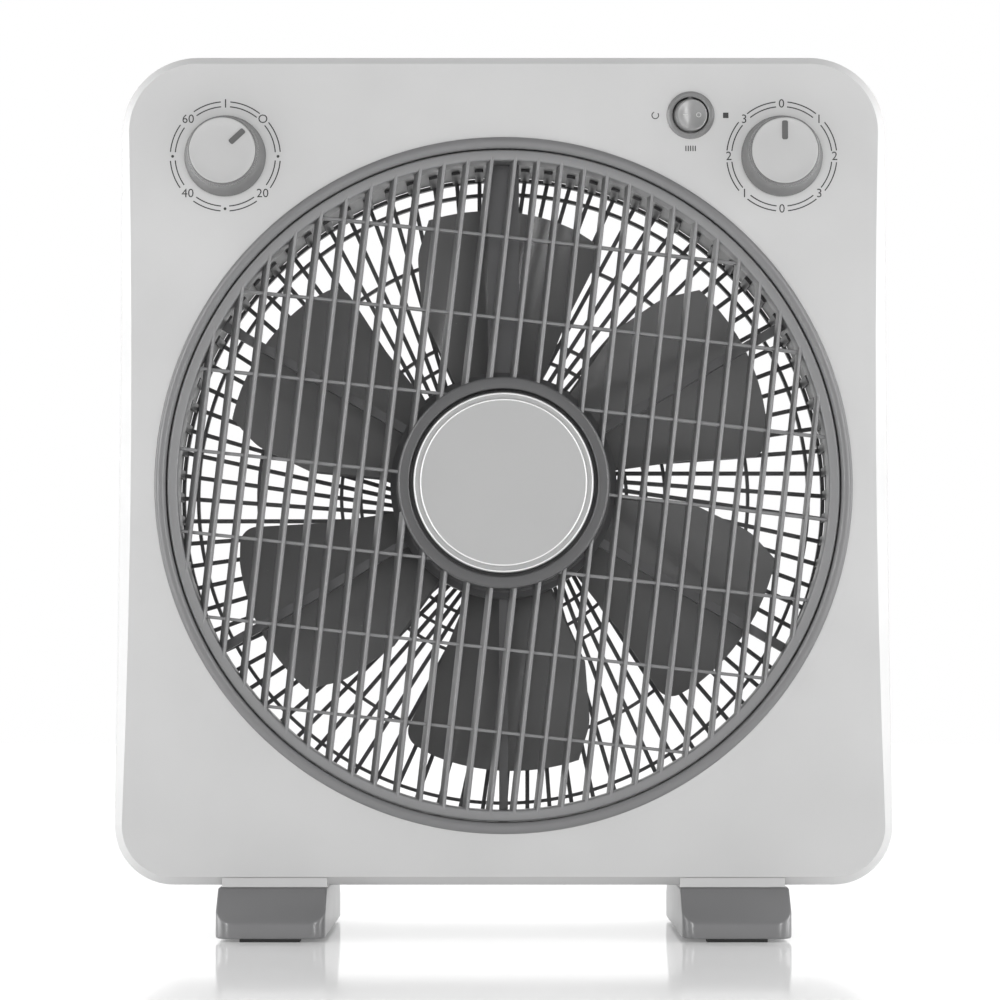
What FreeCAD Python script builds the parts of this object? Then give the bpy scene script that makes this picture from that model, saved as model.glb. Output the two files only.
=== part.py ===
import FreeCAD, Part
import math
import os

# Box fan: a square body in two moulded shells, a slow turning louver grille driven by its own
# small gear motor, a six-blade impeller on the main motor, two dials, one rocker and two feet.
# Millimetres. X to the right, Y to the back, Z up, the floor at Z = 0.

Vector = FreeCAD.Vector
ACROSS = Vector(0, 1, 0)

# Body
body_width = 391.0
body_flare = 3.0
body_height = 422.3
body_depth = 130.0
ground_gap = 27.0
wall = 2.4
top_corner = 39.0
bottom_corner = 30.0
face_inset = 4.3
bevel_depth = 6.0
side_waist = 0.5
face_waist = 2.7
front_shell_depth = 65.0
seam_gap = 0.8
tongue_wall = 1.3
tongue_length = 4.0
back_taper = 3.0
back_bevel = 12.0
edge_round = 3.0
back_round = 8.0

# Air path
axis_height = 230.0
trim_outer = 177.3
trim_inner = 171.6
trim_proud = 2.0
trim_wall = 2.0
trim_sleeve = 17.0
duct_radius = 175.0
duct_wall = 2.2
duct_front = 31.0
duct_flange = 3.0

# Turning louver grille
hoop_width = 5.6
hoop_gap = 0.6
hoop_front = 0.5
hoop_depth = 15.0
louver_depth = 11.0
dome_rise = 9.0
louver_count = 27
louver_pitch = 11.9
louver_thickness = 1.9
louver_lean = 2.0
louver_fan = 0.010
louver_turn = 6.3
tie_count = 7
tie_pitch = 41.8
tie_thickness = 1.6
tie_recess = 3.5
hub_outer = 53.6
hub_inner = 47.6
hub_proud = 10.0
hub_floor_depth = 2.0
hub_floor = 2.5
hub_back = 8.5
hub_boss_wall = 5.0
hub_boss_rise = 3.0
cap_radius = 45.6
cap_step = 42.3
cap_proud = 12.0

# Front spider and grille motor
spider_front = 22.0
spider_depth = 8.0
spider_ring_inner = 171.0
spider_ring_outer = 177.0
arm_count = 6
arm_width = 4.5
channel_width = 16.0
pod_radius = 58.0
pod_front = 13.0
pod_depth = 25.0
grille_motor_radius = 25.0
grille_motor_depth = 15.0
grille_shaft_radius = 3.5
lug_circle = 186.0
lug_radius = 6.0
lug_thickness = 3.5

# Impeller
blade_count = 6
blade_tip = 147.0
blade_half_angle = 24.5
blade_thickness = 2.4
blade_span_depth = 34.0
blade_camber = 0.10
blade_trailing_corner = 23.0
blade_leading_corner = 9.0
blade_outline = [(-32.0, 0.295), (-26.5, 0.64), (-20.2, 0.885), (-15.5, 0.995), (0.0, 0.998), (15.0, 0.978),
                 (22.3, 0.955), (20.2, 0.66), (18.0, 0.295)]
impeller_front = 46.0
impeller_hub = 50.0
impeller_hub_depth = 34.0
impeller_wall = 2.5

# Main motor
motor_shaft_radius = 4.0
motor_bell_front = 66.0
stator_front = 86.0
stator_stack = 22.0
stator_half = 41.0
stator_bore = 23.4
air_gap = 0.4
bell_radius = 40.0
bell_wall = 1.5
mount_plate_radius = 56.0
mount_screw_circle = 43.0

# Rear grille
rear_grille_front = 122.0
rear_grille_thickness = 4.0
rear_grille_ring = 172.7
rear_grille_outer = 174.7
spoke_count = 88
spoke_width = 2.2
spoke_offset = 13.0
inner_rings = [67.0, 77.5, 88.0, 133.0, 165.8]
ring_width = 1.8
tab_width = 4.6
tab_thickness = 1.5
tab_length = 34.0
ear_radius = 5.0
ear_reach = 5.5
screw_length = 9.0

# Dials
dial_x = 142.0
dial_height = 397.3
dial_shaft_radius = 3.0
knob_base = 20.8
knob_face = 17.2
knob_height = 20.0
knob_lift = 1.0
knob_cap_radius = 15.9
pointer_inner = 5.4
pointer_outer = 15.0
pointer_width = 3.0
off_turn = 47.0
timer_half = 20.0
timer_depth = 30.0
speed_half = 16.0
speed_depth = 22.0
switch_screw_pitch = 26.0

# Rocker
rocker_x = 95.5
rocker_height = 418.4
rocker_ball = 8.9
rocker_bore = 9.3
rocker_barrel = 10.9
rocker_bezel = 12.2
rocker_pivot_depth = 2.0
rocker_face = 4.5
rocker_tilt = 10.0
trunnion_radius = 1.5

# Feet
foot_inner_x = 89.0
foot_width = 55.0
foot_reach = 21.0
foot_front_height = 9.5
foot_top = 26.0
foot_lift = 1.5
foot_floor = 10.0
foot_wall = 3.3
foot_end_wall = 12.0
foot_shell = 4.0
foot_hollow = 6.5
foot_screw_spread = 40.0
pad_length = 30.0
pad_depth = 14.0
pad_height = 3.0

# Carry recess and cord inlet
recess_half = 55.0
recess_gap = 2.2
recess_height = 21.0
recess_depth = 26.0
recess_skin = 2.0
gland_x = 150.0
gland_height = 56.0
gland_bore = 3.6
gland_neck = 6.5
clamp_reach = 13.0
clamp_stand = 22.0
terminal_offset = 45.0
terminal_drop = 6.0
terminal_stand = 14.0
capacitor_screw_x = 62.0
capacitor_screw_drop = 12.0

# Fasteners and clearances
small_screw = 1.5
small_head = 3.2
boss_radius = 4.5
boss_inset = 20.0
body_screw_sink = 14.0
side_boss_rise = 80.0
bottom_boss_x = 45.0
fit_gap = 0.05
loose_gap = 0.3
running_gap = 0.04
head_height = 2.0

screw_hole = small_screw + fit_gap
front_y = -body_depth / 2
body_top = ground_gap + body_height
trim_bore = trim_inner + trim_wall
hoop_outer = trim_inner - hoop_gap
hoop_inner = hoop_outer - hoop_width
recess_bottom = axis_height + duct_radius + duct_wall + duct_flange + recess_gap


def at(x, depth, z):
    return Vector(x, front_y + depth, z)


def disc(radius, depth, length, x=0.0, z=axis_height):
    return Part.makeCylinder(radius, length, at(x, depth, z), ACROSS)


def tube(outer, inner, depth, length, x=0.0, z=axis_height):
    return disc(outer, depth, length, x, z).cut(disc(inner, depth - 1, length + 2, x, z))


def block(x_low, x_high, depth_low, depth_high, z_low, z_high):
    size = (x_high - x_low, depth_high - depth_low, z_high - z_low)
    return Part.makeBox(*size, at(x_low, depth_low, z_low))


def turned(profile, x=0.0, z=axis_height):
    """A solid of revolution about the Y direction from (radius, depth) corners."""
    corners = [at(x + radius, depth, z) for radius, depth in profile]
    face = Part.Face(Part.makePolygon(corners + corners[:1]))
    return face.revolve(at(x, 0, z), ACROSS, 360)


def polar(radius, angle, depth=0.0, x=0.0, z=axis_height):
    turn = math.radians(angle)
    return at(x + radius * math.cos(turn), depth, z + radius * math.sin(turn))


def turn_about_axis(shape, angle, x=0.0, z=axis_height):
    """A clockwise turn as seen from the front."""
    copy = shape.copy()
    copy.rotate(at(x, 0, z), ACROSS, angle)
    return copy


def mirrored(shape):
    return shape.mirror(Vector(0, 0, 0), Vector(1, 0, 0))


def join(shapes):
    result = shapes[0].multiFuse(shapes[1:]) if len(shapes) > 1 else shapes[0]
    return result.removeSplitter()


def screw(x, z, seat_depth, length, direction=1, radius=small_screw, head=small_head):
    """A pan-head screw along Y. Its head sits on the seat and its shank runs in the direction."""
    way = Vector(0, direction, 0)
    shank = Part.makeCylinder(radius, length, at(x, seat_depth, z), way)
    cap = Part.makeCylinder(head, head_height, at(x, seat_depth, z), way * -1)
    rim = [e for e in cap.Edges if abs(e.BoundBox.YMax - e.BoundBox.YMin) < 1e-6
           and abs(e.BoundBox.YMin - (front_y + seat_depth - direction * head_height)) < 1e-6]
    cap = cap.makeFillet(head_height * 0.4, rim)
    slot_depth = seat_depth - direction * head_height
    bar = block(-head * 0.6, head * 0.6, -0.7, 0.7, -0.4, 0.4)
    bar.translate(Vector(x, slot_depth, z))
    cross = bar.copy()
    cross.rotate(at(x, slot_depth, z), ACROSS, 90)
    return shank.fuse(cap).cut(bar).cut(cross)


def outline(inset, depth, waist):
    """The body's rounded outline in the XZ plane, with gently drawn-in sides."""
    top_half = body_width / 2 - inset
    low_half = top_half + body_flare / 2
    high = body_top - inset
    low = ground_gap + inset
    round_top = top_corner - inset
    round_low = bottom_corner - inset
    lean = math.sqrt(0.5)
    mid_half = (top_half + low_half) / 2 - waist
    mid_z = (high - round_top + low + round_low) / 2

    def point(x, z):
        return at(x, depth, z)

    def corner(side, half, z, radius, up):
        centre_x, centre_z = half - radius, z - up * radius
        start = point(side * half, centre_z)
        middle = point(side * (centre_x + radius * lean), centre_z + up * radius * lean)
        return start, middle, point(side * centre_x, z)

    right_top = corner(1, top_half, high, round_top, 1)
    left_top = corner(-1, top_half, high, round_top, 1)
    left_low = corner(-1, low_half, low, round_low, -1)
    right_low = corner(1, low_half, low, round_low, -1)
    edges = [
        Part.Arc(*right_top),
        Part.LineSegment(right_top[2], left_top[2]),
        Part.Arc(left_top[2], left_top[1], left_top[0]),
        Part.Arc(left_top[0], point(-mid_half, mid_z), left_low[0]),
        Part.Arc(*left_low),
        Part.LineSegment(left_low[2], right_low[2]),
        Part.Arc(right_low[2], right_low[1], right_low[0]),
        Part.Arc(right_low[0], point(mid_half, mid_z), right_top[0]),
    ]
    return Part.Wire([edge.toShape() for edge in edges])


def edges_at_depth(shape, depth):
    level = front_y + depth
    return [e for e in shape.Edges if abs(e.BoundBox.YMin - level) < 1e-3
            and abs(e.BoundBox.YMax - level) < 1e-3]


def body_bosses():
    """Where the ten screws that close the body stand: corners, sides and bottom."""
    top_half = body_width / 2 - wall
    low_half = top_half + body_flare / 2
    low_z = ground_gap + wall + boss_inset
    spots = []
    for side in (-1, 1):
        spots.append((side * (top_half - boss_inset), body_top - wall - boss_inset))
        spots.append((side * (low_half - boss_inset), low_z))
        spots.append((side * (top_half - boss_inset + 3), axis_height + side_boss_rise))
        spots.append((side * (top_half - boss_inset + 3), axis_height - side_boss_rise))
        spots.append((side * bottom_boss_x, low_z))
    return spots


def foot_screw_depths():
    return [body_depth / 2 - foot_screw_spread, body_depth / 2 + foot_screw_spread]


def foot_screw_x():
    return foot_inner_x + foot_width / 2


def foot_bosses(depth):
    """Upright bosses inside the body's floor, one above each foot at this depth, and their pilot holes."""
    up = Vector(0, 0, 1)
    floor = ground_gap + wall / 2
    bosses, holes = [], []
    for side in (-1, 1):
        spot = at(side * foot_screw_x(), depth, floor)
        bosses.append(Part.makeCylinder(boss_radius, wall + 9, spot, up))
        holes.append(Part.makeCylinder(screw_hole, wall + 9, spot - up * wall, up))
    return bosses, holes


def foot_bracket(side):
    """The light block between the body and a foot. It fills the bevel in front and the foot slides over it."""
    inner, outer = foot_inner_x, foot_inner_x + foot_width - 2
    rear_bottom = ground_gap + back_taper
    bevel_end = body_depth - back_bevel
    corners = [(0.4, foot_top + fit_gap), (0.4, ground_gap + face_inset - 0.6), (bevel_depth, ground_gap - fit_gap),
               (front_shell_depth, ground_gap - fit_gap), (bevel_end, rear_bottom - fit_gap * 2),
               (bevel_end, foot_top + fit_gap)]
    points = [at(inner, depth, z) for depth, z in corners]
    boss = Part.Face(Part.makePolygon(points + points[:1])).extrude(Vector(outer - inner, 0, 0))
    core = block(inner + loose_gap, outer + 2 - foot_wall - loose_gap, foot_end_wall,
                 body_depth - foot_end_wall, foot_floor + fit_gap, foot_top + 0.5)
    shape = boss.fuse(core)
    for depth in foot_screw_depths():
        hole = Part.makeCylinder(small_screw + 0.2, 40, at(foot_screw_x(), depth, 0), Vector(0, 0, 1))
        shape = shape.cut(hole)
    return shape if side > 0 else mirrored(shape)


def front_housing():
    outer = Part.makeLoft([outline(face_inset, 0, face_waist),
                           outline(0, bevel_depth, side_waist),
                           outline(0, front_shell_depth, side_waist)], True, True)
    outer = outer.makeFillet(edge_round, edges_at_depth(outer, bevel_depth))
    inner = Part.makeLoft([outline(face_inset + wall * 0.7, wall, face_waist),
                           outline(wall, bevel_depth + 1, side_waist),
                           outline(wall, front_shell_depth + 1, side_waist)], True, True)
    shell = outer.cut(inner)
    adds = []
    holes = [disc(trim_bore + fit_gap, -1, wall + 2)]
    for index in range(arm_count):
        spot = polar(lug_circle, 90 + index * 360 / arm_count, wall - 1)
        adds.append(Part.makeCylinder(boss_radius, spider_front - wall + 1 - fit_gap, spot, ACROSS))
        holes.append(Part.makeCylinder(screw_hole, spider_front, spot + ACROSS * 3, ACROSS))
    for x, z in body_bosses():
        adds.append(disc(boss_radius, wall - 1, front_shell_depth - wall + 1, x, z))
        holes.append(disc(screw_hole, front_shell_depth - 15, 16, x, z))
    bosses, pilots = foot_bosses(foot_screw_depths()[0])
    adds += bosses
    holes += pilots
    for side in (-1, 1):
        holes.append(disc(dial_shaft_radius + 2.2, -1, wall + 2, side * dial_x, dial_height))
        for screw_side in (-1, 1):
            x = side * dial_x + screw_side * switch_screw_pitch / 2
            holes.append(disc(small_screw + fit_gap, -1, wall + 2, x, dial_height))
    holes.append(disc(rocker_barrel + fit_gap, -1, wall + 2, rocker_x, rocker_height))
    cap_x, cap_z = capacitor_screw()
    adds.append(disc(boss_radius - 1, wall - 1, 6, cap_x, cap_z))
    holes.append(disc(screw_hole, wall + 0.5, 8, cap_x, cap_z))
    shell = shell.multiFuse(adds)
    return shell.cut(Part.makeCompound(holes))


def handle_pocket():
    middle = recess_bottom + recess_height / 2
    depth_low = body_depth - recess_depth

    def slot(grow, low, high):
        half = recess_height / 2 + grow
        reach = recess_half - recess_height / 2
        bar = block(-reach, reach, low, high, middle - half, middle + half)
        ends = [disc(half, low, high - low, side * reach, middle) for side in (-1, 1)]
        return bar.multiFuse(ends)

    return slot(recess_skin, depth_low - recess_skin, body_depth - 1), slot(0, depth_low, body_depth + 1)


def rear_housing():
    start = front_shell_depth + seam_gap
    bevel_start = body_depth - back_bevel
    outer = Part.makeLoft([outline(0, start, side_waist),
                           outline(back_taper, bevel_start, side_waist),
                           outline(back_taper + back_bevel * 0.8, body_depth, side_waist)], True, True)
    outer = outer.makeFillet(back_round, edges_at_depth(outer, bevel_start))
    inner = Part.makeLoft([outline(wall, start - 1, side_waist),
                           outline(back_taper + wall, bevel_start - 1, side_waist),
                           outline(back_taper + back_bevel * 0.8 + wall, body_depth - wall, side_waist)],
                          True, True)
    shell = outer.cut(inner)
    outer_block = outer.fuse(block(-body_width, body_width, 0, start + 1, 0, body_top))
    tongue_low = front_shell_depth - tongue_length
    tongue = Part.makeLoft([outline(wall + fit_gap * 3, tongue_low, side_waist),
                            outline(wall + fit_gap * 3, start + 2, side_waist)], True, True)
    tongue_hole = Part.makeLoft([outline(wall + tongue_wall, tongue_low - 1, side_waist),
                                 outline(wall + tongue_wall, start + 3, side_waist)], True, True)
    tongue = tongue.cut(tongue_hole)
    pocket_outer, pocket_inner = handle_pocket()
    seat = tube(duct_radius + duct_wall + duct_flange, duct_radius + duct_wall + fit_gap,
                rear_grille_front, body_depth - rear_grille_front - 1)
    adds = [tongue, seat, pocket_outer]
    holes = [disc(duct_radius + duct_wall + fit_gap, duct_front, body_depth), pocket_inner]
    for x, z in body_bosses():
        adds.append(disc(boss_radius, start - 0.6, body_depth - start - 2, x, z).common(outer_block))
        holes.append(disc(small_screw + 0.2, start - 2, body_depth, x, z))
        holes.append(disc(small_head + 0.3, body_screw_seat(), body_depth, x, z))
    for x, z in rear_grille_ears():
        adds.append(disc(boss_radius, rear_grille_front - 10, 10, x, z))
        holes.append(disc(screw_hole, rear_grille_front - 9, 10, x, z))
    holes += ears(loose_gap, rear_grille_front - fit_gap, body_depth)
    adds[-4:] = [boss.cut(disc(duct_radius + duct_wall + fit_gap, 0, body_depth)) for boss in adds[-4:]]
    bosses, pilots = foot_bosses(foot_screw_depths()[1])
    adds += [boss.common(outer_block) for boss in bosses]
    holes += pilots
    holes.append(disc(gland_neck + fit_gap, body_depth - wall - 6, 12, gland_x, gland_height))
    for x, z in clamp_screws():
        adds.append(disc(boss_radius - 1, clamp_depth() + 1, body_depth - clamp_depth() - 2, x, z))
        holes.append(disc(screw_hole, clamp_depth(), 12, x, z))
    x, z = terminal_screw()
    adds.append(disc(boss_radius - 1, terminal_back(), body_depth - terminal_back() - 1, x, z))
    holes.append(disc(screw_hole, terminal_back() - 1, 10, x, z))
    shell = shell.multiFuse(adds)
    return shell.cut(Part.makeCompound(holes))


def air_duct():
    """The round shroud behind the impeller's rim, with a flange on the inside of the rear housing."""
    shroud = tube(duct_radius + duct_wall, duct_radius, duct_front, rear_grille_front - duct_front - fit_gap)
    low = rear_grille_front - fit_gap - 2.0
    flange = tube(duct_radius + duct_wall + duct_flange, duct_radius + duct_wall - 0.5, low, 2.0)
    slots = [disc(boss_radius + loose_gap, low - 1, 5, x, z) for x, z in rear_grille_ears()]
    return shroud.fuse(flange.cut(Part.makeCompound(slots)))


def body_screw_seat():
    return front_shell_depth + body_screw_sink


def rear_grille_ears():
    spots = [polar(duct_radius + duct_wall + ear_reach, 45 + index * 90) for index in range(4)]
    return [(spot.x, spot.z) for spot in spots]


def ears(grow, low, high):
    """The four screw ears round the rear grille, or the pockets that take them."""
    shapes = []
    reach = duct_radius + duct_wall + ear_reach
    half = ear_radius + grow
    for index in range(4):
        arm = block(rear_grille_outer - 2, reach, low, high, axis_height - half, axis_height + half)
        arm = arm.fuse(disc(half, low, high - low, reach, axis_height))
        shapes.append(turn_about_axis(arm, 45 + index * 90))
    return shapes


def clamp_depth():
    return body_depth - clamp_stand


def clamp_screws():
    return [(gland_x - clamp_reach, gland_height), (gland_x + clamp_reach, gland_height)]


def terminal_screw():
    return (gland_x - terminal_offset, gland_height - terminal_drop)


def terminal_back():
    return body_depth - terminal_stand


def capacitor_screw():
    return (capacitor_screw_x, body_top - wall - capacitor_screw_drop)


def trim_ring():
    bead = []
    steps = 10
    middle = (trim_outer + trim_inner) / 2
    half = (trim_outer - trim_inner) / 2
    for index in range(steps + 1):
        turn = math.pi * index / steps
        bead.append((middle + half * math.cos(turn), -trim_proud * math.sin(turn)))
    profile = bead + [(trim_inner, trim_sleeve), (trim_bore - fit_gap, trim_sleeve),
                      (trim_bore - fit_gap, -fit_gap / 2), (trim_outer, -fit_gap / 2)]
    profile = profile[1:]
    return turned(profile)


def dome(radius):
    """Depth of the louvers' front edge at a radius: a shallow dome, highest at the middle."""
    return hoop_front - dome_rise * (1 - (radius / hoop_inner) ** 2)


def dome_slice(front_shift, back_shift):
    """Everything between two copies of the dome, out to the inside of the hoop."""
    reach = hoop_inner + hoop_width / 2

    def arc(shift):
        return [at(0, dome(0) + shift, axis_height),
                at(reach / 2, dome(reach / 2) + shift, axis_height),
                at(reach, dome(reach) + shift, axis_height)]

    front = arc(front_shift)
    back = arc(back_shift)
    edges = [Part.Arc(*front).toShape(), Part.makeLine(front[2], back[2]),
             Part.Arc(*back[::-1]).toShape(), Part.makeLine(back[0], front[0])]
    face = Part.Face(Part.Wire(edges))
    return face.revolve(at(0, 0, axis_height), ACROSS, 360)


def slat(offset):
    """One long leaning louver through the whole grille, before it is trimmed to the dome. The lean
    changes across the grille, so the louvers fan out slightly to the back."""
    reach = hoop_outer
    low, high = -dome_rise - 4, louver_depth + 4
    slope = -(louver_lean - louver_fan * offset) / louver_depth
    half = louver_thickness / 2
    corners = [at(offset + slope * low - half, low, axis_height - reach),
               at(offset + slope * low + half, low, axis_height - reach),
               at(offset + slope * high + half, high, axis_height - reach),
               at(offset + slope * high - half, high, axis_height - reach)]
    face = Part.Face(Part.makePolygon(corners + corners[:1]))
    return face.extrude(Vector(0, 0, 2 * reach))


def louver_grille():
    middle = (louver_count - 1) / 2
    slats = [slat((index - middle) * louver_pitch) for index in range(louver_count)]
    tie_middle = (tie_count - 1) / 2
    ties = []
    for index in range(tie_count):
        z = axis_height + (index - tie_middle) * tie_pitch
        ties.append(block(-hoop_outer, hoop_outer, -dome_rise - 4, louver_depth + 4,
                          z - tie_thickness / 2, z + tie_thickness / 2))
    louvers = Part.makeCompound(slats).common(dome_slice(0, louver_depth))
    bars = Part.makeCompound(ties).common(dome_slice(tie_recess, louver_depth - tie_recess))
    core = disc(hub_inner + 1, -30, 80)
    louvers = louvers.cut(core)
    bars = bars.cut(core)
    hoop = turned([(hoop_inner, hoop_front + 0.8), (hoop_inner + 0.8, hoop_front),
                   (hoop_outer - 0.8, hoop_front), (hoop_outer, hoop_front + 0.8),
                   (hoop_outer, hoop_front + hoop_depth), (hoop_inner, hoop_front + hoop_depth)])
    back = hub_back
    boss = grille_shaft_radius + hub_boss_wall
    boss_front = hub_floor_depth - hub_boss_rise
    hub = turned([(hub_outer, -hub_proud + 1), (hub_outer - 1, -hub_proud), (hub_inner + 0.6, -hub_proud),
                  (hub_inner, -hub_proud + 0.6), (hub_inner, hub_floor_depth),
                  (boss, hub_floor_depth), (boss, boss_front),
                  (grille_shaft_radius + fit_gap, boss_front),
                  (grille_shaft_radius + fit_gap, back - 1), (boss, back - 1),
                  (boss, hub_floor_depth + hub_floor), (hub_inner + 1.6, hub_floor_depth + hub_floor),
                  (hub_inner + 1.6, back), (hub_outer, back)])
    pieces = louvers.Solids + bars.Solids
    whole = hoop.multiFuse([hub] + pieces)
    return turn_about_axis(whole, louver_turn)


def grille_cap():
    rim = cap_radius
    profile = [(0, -cap_proud + 0.6), (cap_step - 0.6, -cap_proud + 0.6), (cap_step, -cap_proud),
               (cap_step + 1.2, -cap_proud), (rim - 0.3, -cap_proud + 1.6), (rim, -cap_proud + 2.4),
               (rim, hub_floor_depth - fit_gap), (rim - 2, hub_floor_depth - fit_gap),
               (rim - 2, -cap_proud + 3.4), (0, -cap_proud + 2.8)]
    cap = turned(profile)
    clips = []
    for index in range(4):
        clip = block(rim - 7, rim - 1.9, hub_floor_depth - 6, hub_floor_depth - fit_gap, -5, 5)
        clip.translate(Vector(0, 0, axis_height))
        clips.append(turn_about_axis(clip, 45 + index * 90))
    return cap.multiFuse(clips)


def grille_screw():
    return screw(0, axis_height, hub_floor_depth - hub_boss_rise - fit_gap, 7.0, 1, small_screw, small_head + 1)


def grille_motor_shaft():
    start = hub_floor_depth - hub_boss_rise
    length = pod_front + 8 - start
    rod = disc(grille_shaft_radius, start, length)
    return rod.cut(disc(screw_hole, start - 1, 9))


def front_spider():
    ring = tube(spider_ring_outer, spider_ring_inner, spider_front, spider_depth)
    pod = turned([(0, pod_front), (pod_radius - 3, pod_front), (pod_radius, pod_front + 3),
                  (pod_radius, pod_front + pod_depth), (pod_radius - wall, pod_front + pod_depth),
                  (pod_radius - wall, pod_front + wall), (0, pod_front + wall)])
    adds = [pod]
    holes = [disc(grille_shaft_radius + 1.5, pod_front - 1, wall + 2)]
    for index in range(arm_count):
        width = channel_width if index == 0 else arm_width
        arm = block(-width / 2, width / 2, spider_front, spider_front + spider_depth,
                    axis_height + pod_radius - 1.5, axis_height + spider_ring_inner + 2)
        if index == 0:
            groove = block(-width / 2 + 1.6, width / 2 - 1.6, spider_front + 2, spider_front + spider_depth + 1,
                           axis_height + pod_radius - 10, axis_height + spider_ring_inner - 4)
            arm = arm.cut(groove)
        lug = Part.makeCylinder(lug_radius, lug_thickness, polar(lug_circle, 90, spider_front), ACROSS)
        web = block(-lug_radius, lug_radius, spider_front, spider_front + lug_thickness,
                    axis_height + spider_ring_outer - 2, axis_height + lug_circle)
        adds.append(turn_about_axis(arm.multiFuse([lug, web]), index * 360 / arm_count))
        spot = polar(lug_circle, 90 - index * 360 / arm_count, spider_front - 1)
        holes.append(Part.makeCylinder(small_screw + 0.2, 10, spot, ACROSS))
    for x, z in grille_motor_screw_spots():
        adds.append(disc(3.5, pod_front + wall - 1, 3, x, z))
        holes.append(disc(screw_hole, pod_front + 1.5, 8, x, z))
    return ring.multiFuse(adds).cut(Part.makeCompound(holes))


def grille_motor_screw_spots():
    return [(side * (grille_motor_radius + 5), axis_height) for side in (-1, 1)]


def spider_screws():
    spots = [polar(lug_circle, 90 + index * 60) for index in range(arm_count)]
    return Part.makeCompound([screw(s.x, s.z, spider_front + lug_thickness + fit_gap, 12.0, -1) for s in spots])


def grille_motor_can():
    start = pod_front + wall + 2 + fit_gap
    can = disc(grille_motor_radius, start + 1.2, grille_motor_depth)
    flange = disc(grille_motor_radius, start, 1.5)
    lugs = []
    for x, z in grille_motor_screw_spots():
        low, high = sorted((0.0, x))
        lugs.append(block(low, high, start, start + 1.5, z - 5, z + 5).fuse(disc(5, start, 1.5, x, z)))
    holes = [disc(small_screw + 0.2, start - 1, 4, x, z) for x, z in grille_motor_screw_spots()]
    bore = disc(grille_shaft_radius + running_gap, start - 1, 11)
    return can.multiFuse([flange] + lugs).cut(Part.makeCompound(holes + [bore])).removeSplitter()


def grille_motor_screws():
    seat = pod_front + wall + 2 + 1.5 + 2 * fit_gap
    return Part.makeCompound([screw(x, z, seat, 4.0, -1) for x, z in grille_motor_screw_spots()])


def blade():
    """One broad blade, built upright: a cambered sheet lofted outward, then cut to its rounded plan."""
    sections = []
    start = impeller_hub - 4
    middle_depth = impeller_front - 1 + blade_span_depth / 2
    for radius in (start, (start + blade_tip) / 2, blade_tip + 3):
        half = radius * math.tan(math.radians(blade_half_angle)) + 1
        rise = blade_span_depth / 2
        camber = half * blade_camber
        z = axis_height + radius
        length = math.hypot(half, rise)
        across = (-rise / length * blade_thickness / 2, half / length * blade_thickness / 2)

        def side(sign):
            ends = [(-half, -rise), (camber * rise / length, -camber * half / length), (half, rise)]
            return [at(x - sign * across[0], middle_depth + d - sign * across[1], z) for x, d in ends]

        front, back = side(1), side(-1)
        edges = [Part.Arc(*front).toShape(), Part.makeLine(front[2], back[2]),
                 Part.Arc(*back[::-1]).toShape(), Part.makeLine(back[0], front[0])]
        sections.append(Part.Wire(edges))
    sheet = Part.makeLoft(sections, True, False)
    return sheet.common(blade_plan())


def blade_plan():
    """The blade's outline from the front. Its corners are (degrees clockwise from the blade's middle,
    share of the tip radius): the trailing side, the round tip, then the leading side."""
    front = impeller_front - 20

    def spot(angle, share):
        turn = math.radians(angle)
        return at(blade_tip * share * math.sin(turn), front, axis_height + blade_tip * share * math.cos(turn))

    points = [spot(angle, share) for angle, share in blade_outline]
    trailing = [Part.makeLine(points[0], points[1]), Part.makeLine(points[1], points[2]),
                Part.makeLine(points[2], points[3])]
    tip = [Part.Arc(points[3], points[4], points[5]).toShape(), Part.makeLine(points[5], points[6])]
    leading = [Part.makeLine(points[6], points[7]), Part.makeLine(points[7], points[8]),
               Part.makeLine(points[8], points[0])]
    prism = Part.Face(Part.Wire(trailing + tip + leading)).extrude(ACROSS * (blade_span_depth + 60))

    def upright_at(places):
        return [e for e in prism.Edges if abs(e.BoundBox.YMax - e.BoundBox.YMin) > blade_span_depth
                and min(math.hypot(e.BoundBox.XMin - p.x, e.BoundBox.ZMin - p.z) for p in places) < 0.01]

    prism = prism.makeFillet(blade_leading_corner, upright_at(points[6:7]))
    prism = prism.makeFillet(blade_trailing_corner, upright_at(points[2:3]))
    return prism


def impeller():
    back = impeller_front + impeller_hub_depth
    inner = impeller_hub - impeller_wall
    boss = motor_shaft_radius + 6
    hub = turned([(boss, impeller_front), (impeller_hub - 5, impeller_front),
                  (impeller_hub - 1.4, impeller_front + 1.4), (impeller_hub, impeller_front + 5),
                  (impeller_hub, back), (inner, back), (inner, impeller_front + 5),
                  (inner - 2, impeller_front + impeller_wall), (boss, impeller_front + impeller_wall),
                  (boss, impeller_front + 14), (motor_shaft_radius + fit_gap, impeller_front + 14),
                  (motor_shaft_radius + fit_gap, impeller_front)])
    one = blade()
    blades = [turn_about_axis(one, index * 360 / blade_count) for index in range(blade_count)]
    keep_out = disc(inner + 0.5, impeller_front - 20, 100)
    blades = [each.cut(keep_out) for each in blades]
    ribs = []
    for index in range(blade_count):
        rib = block(boss - 1, inner + 0.5, impeller_front + 1, impeller_front + 9, -0.9, 0.9)
        rib.translate(Vector(0, 0, axis_height))
        ribs.append(turn_about_axis(rib, index * 60))
    slot = block(-boss + 1, boss - 1, impeller_front + 11, impeller_front + 15, -1.3, 1.3)
    slot.translate(Vector(0, 0, axis_height))
    return hub.multiFuse(blades + ribs).cut(slot)


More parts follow.
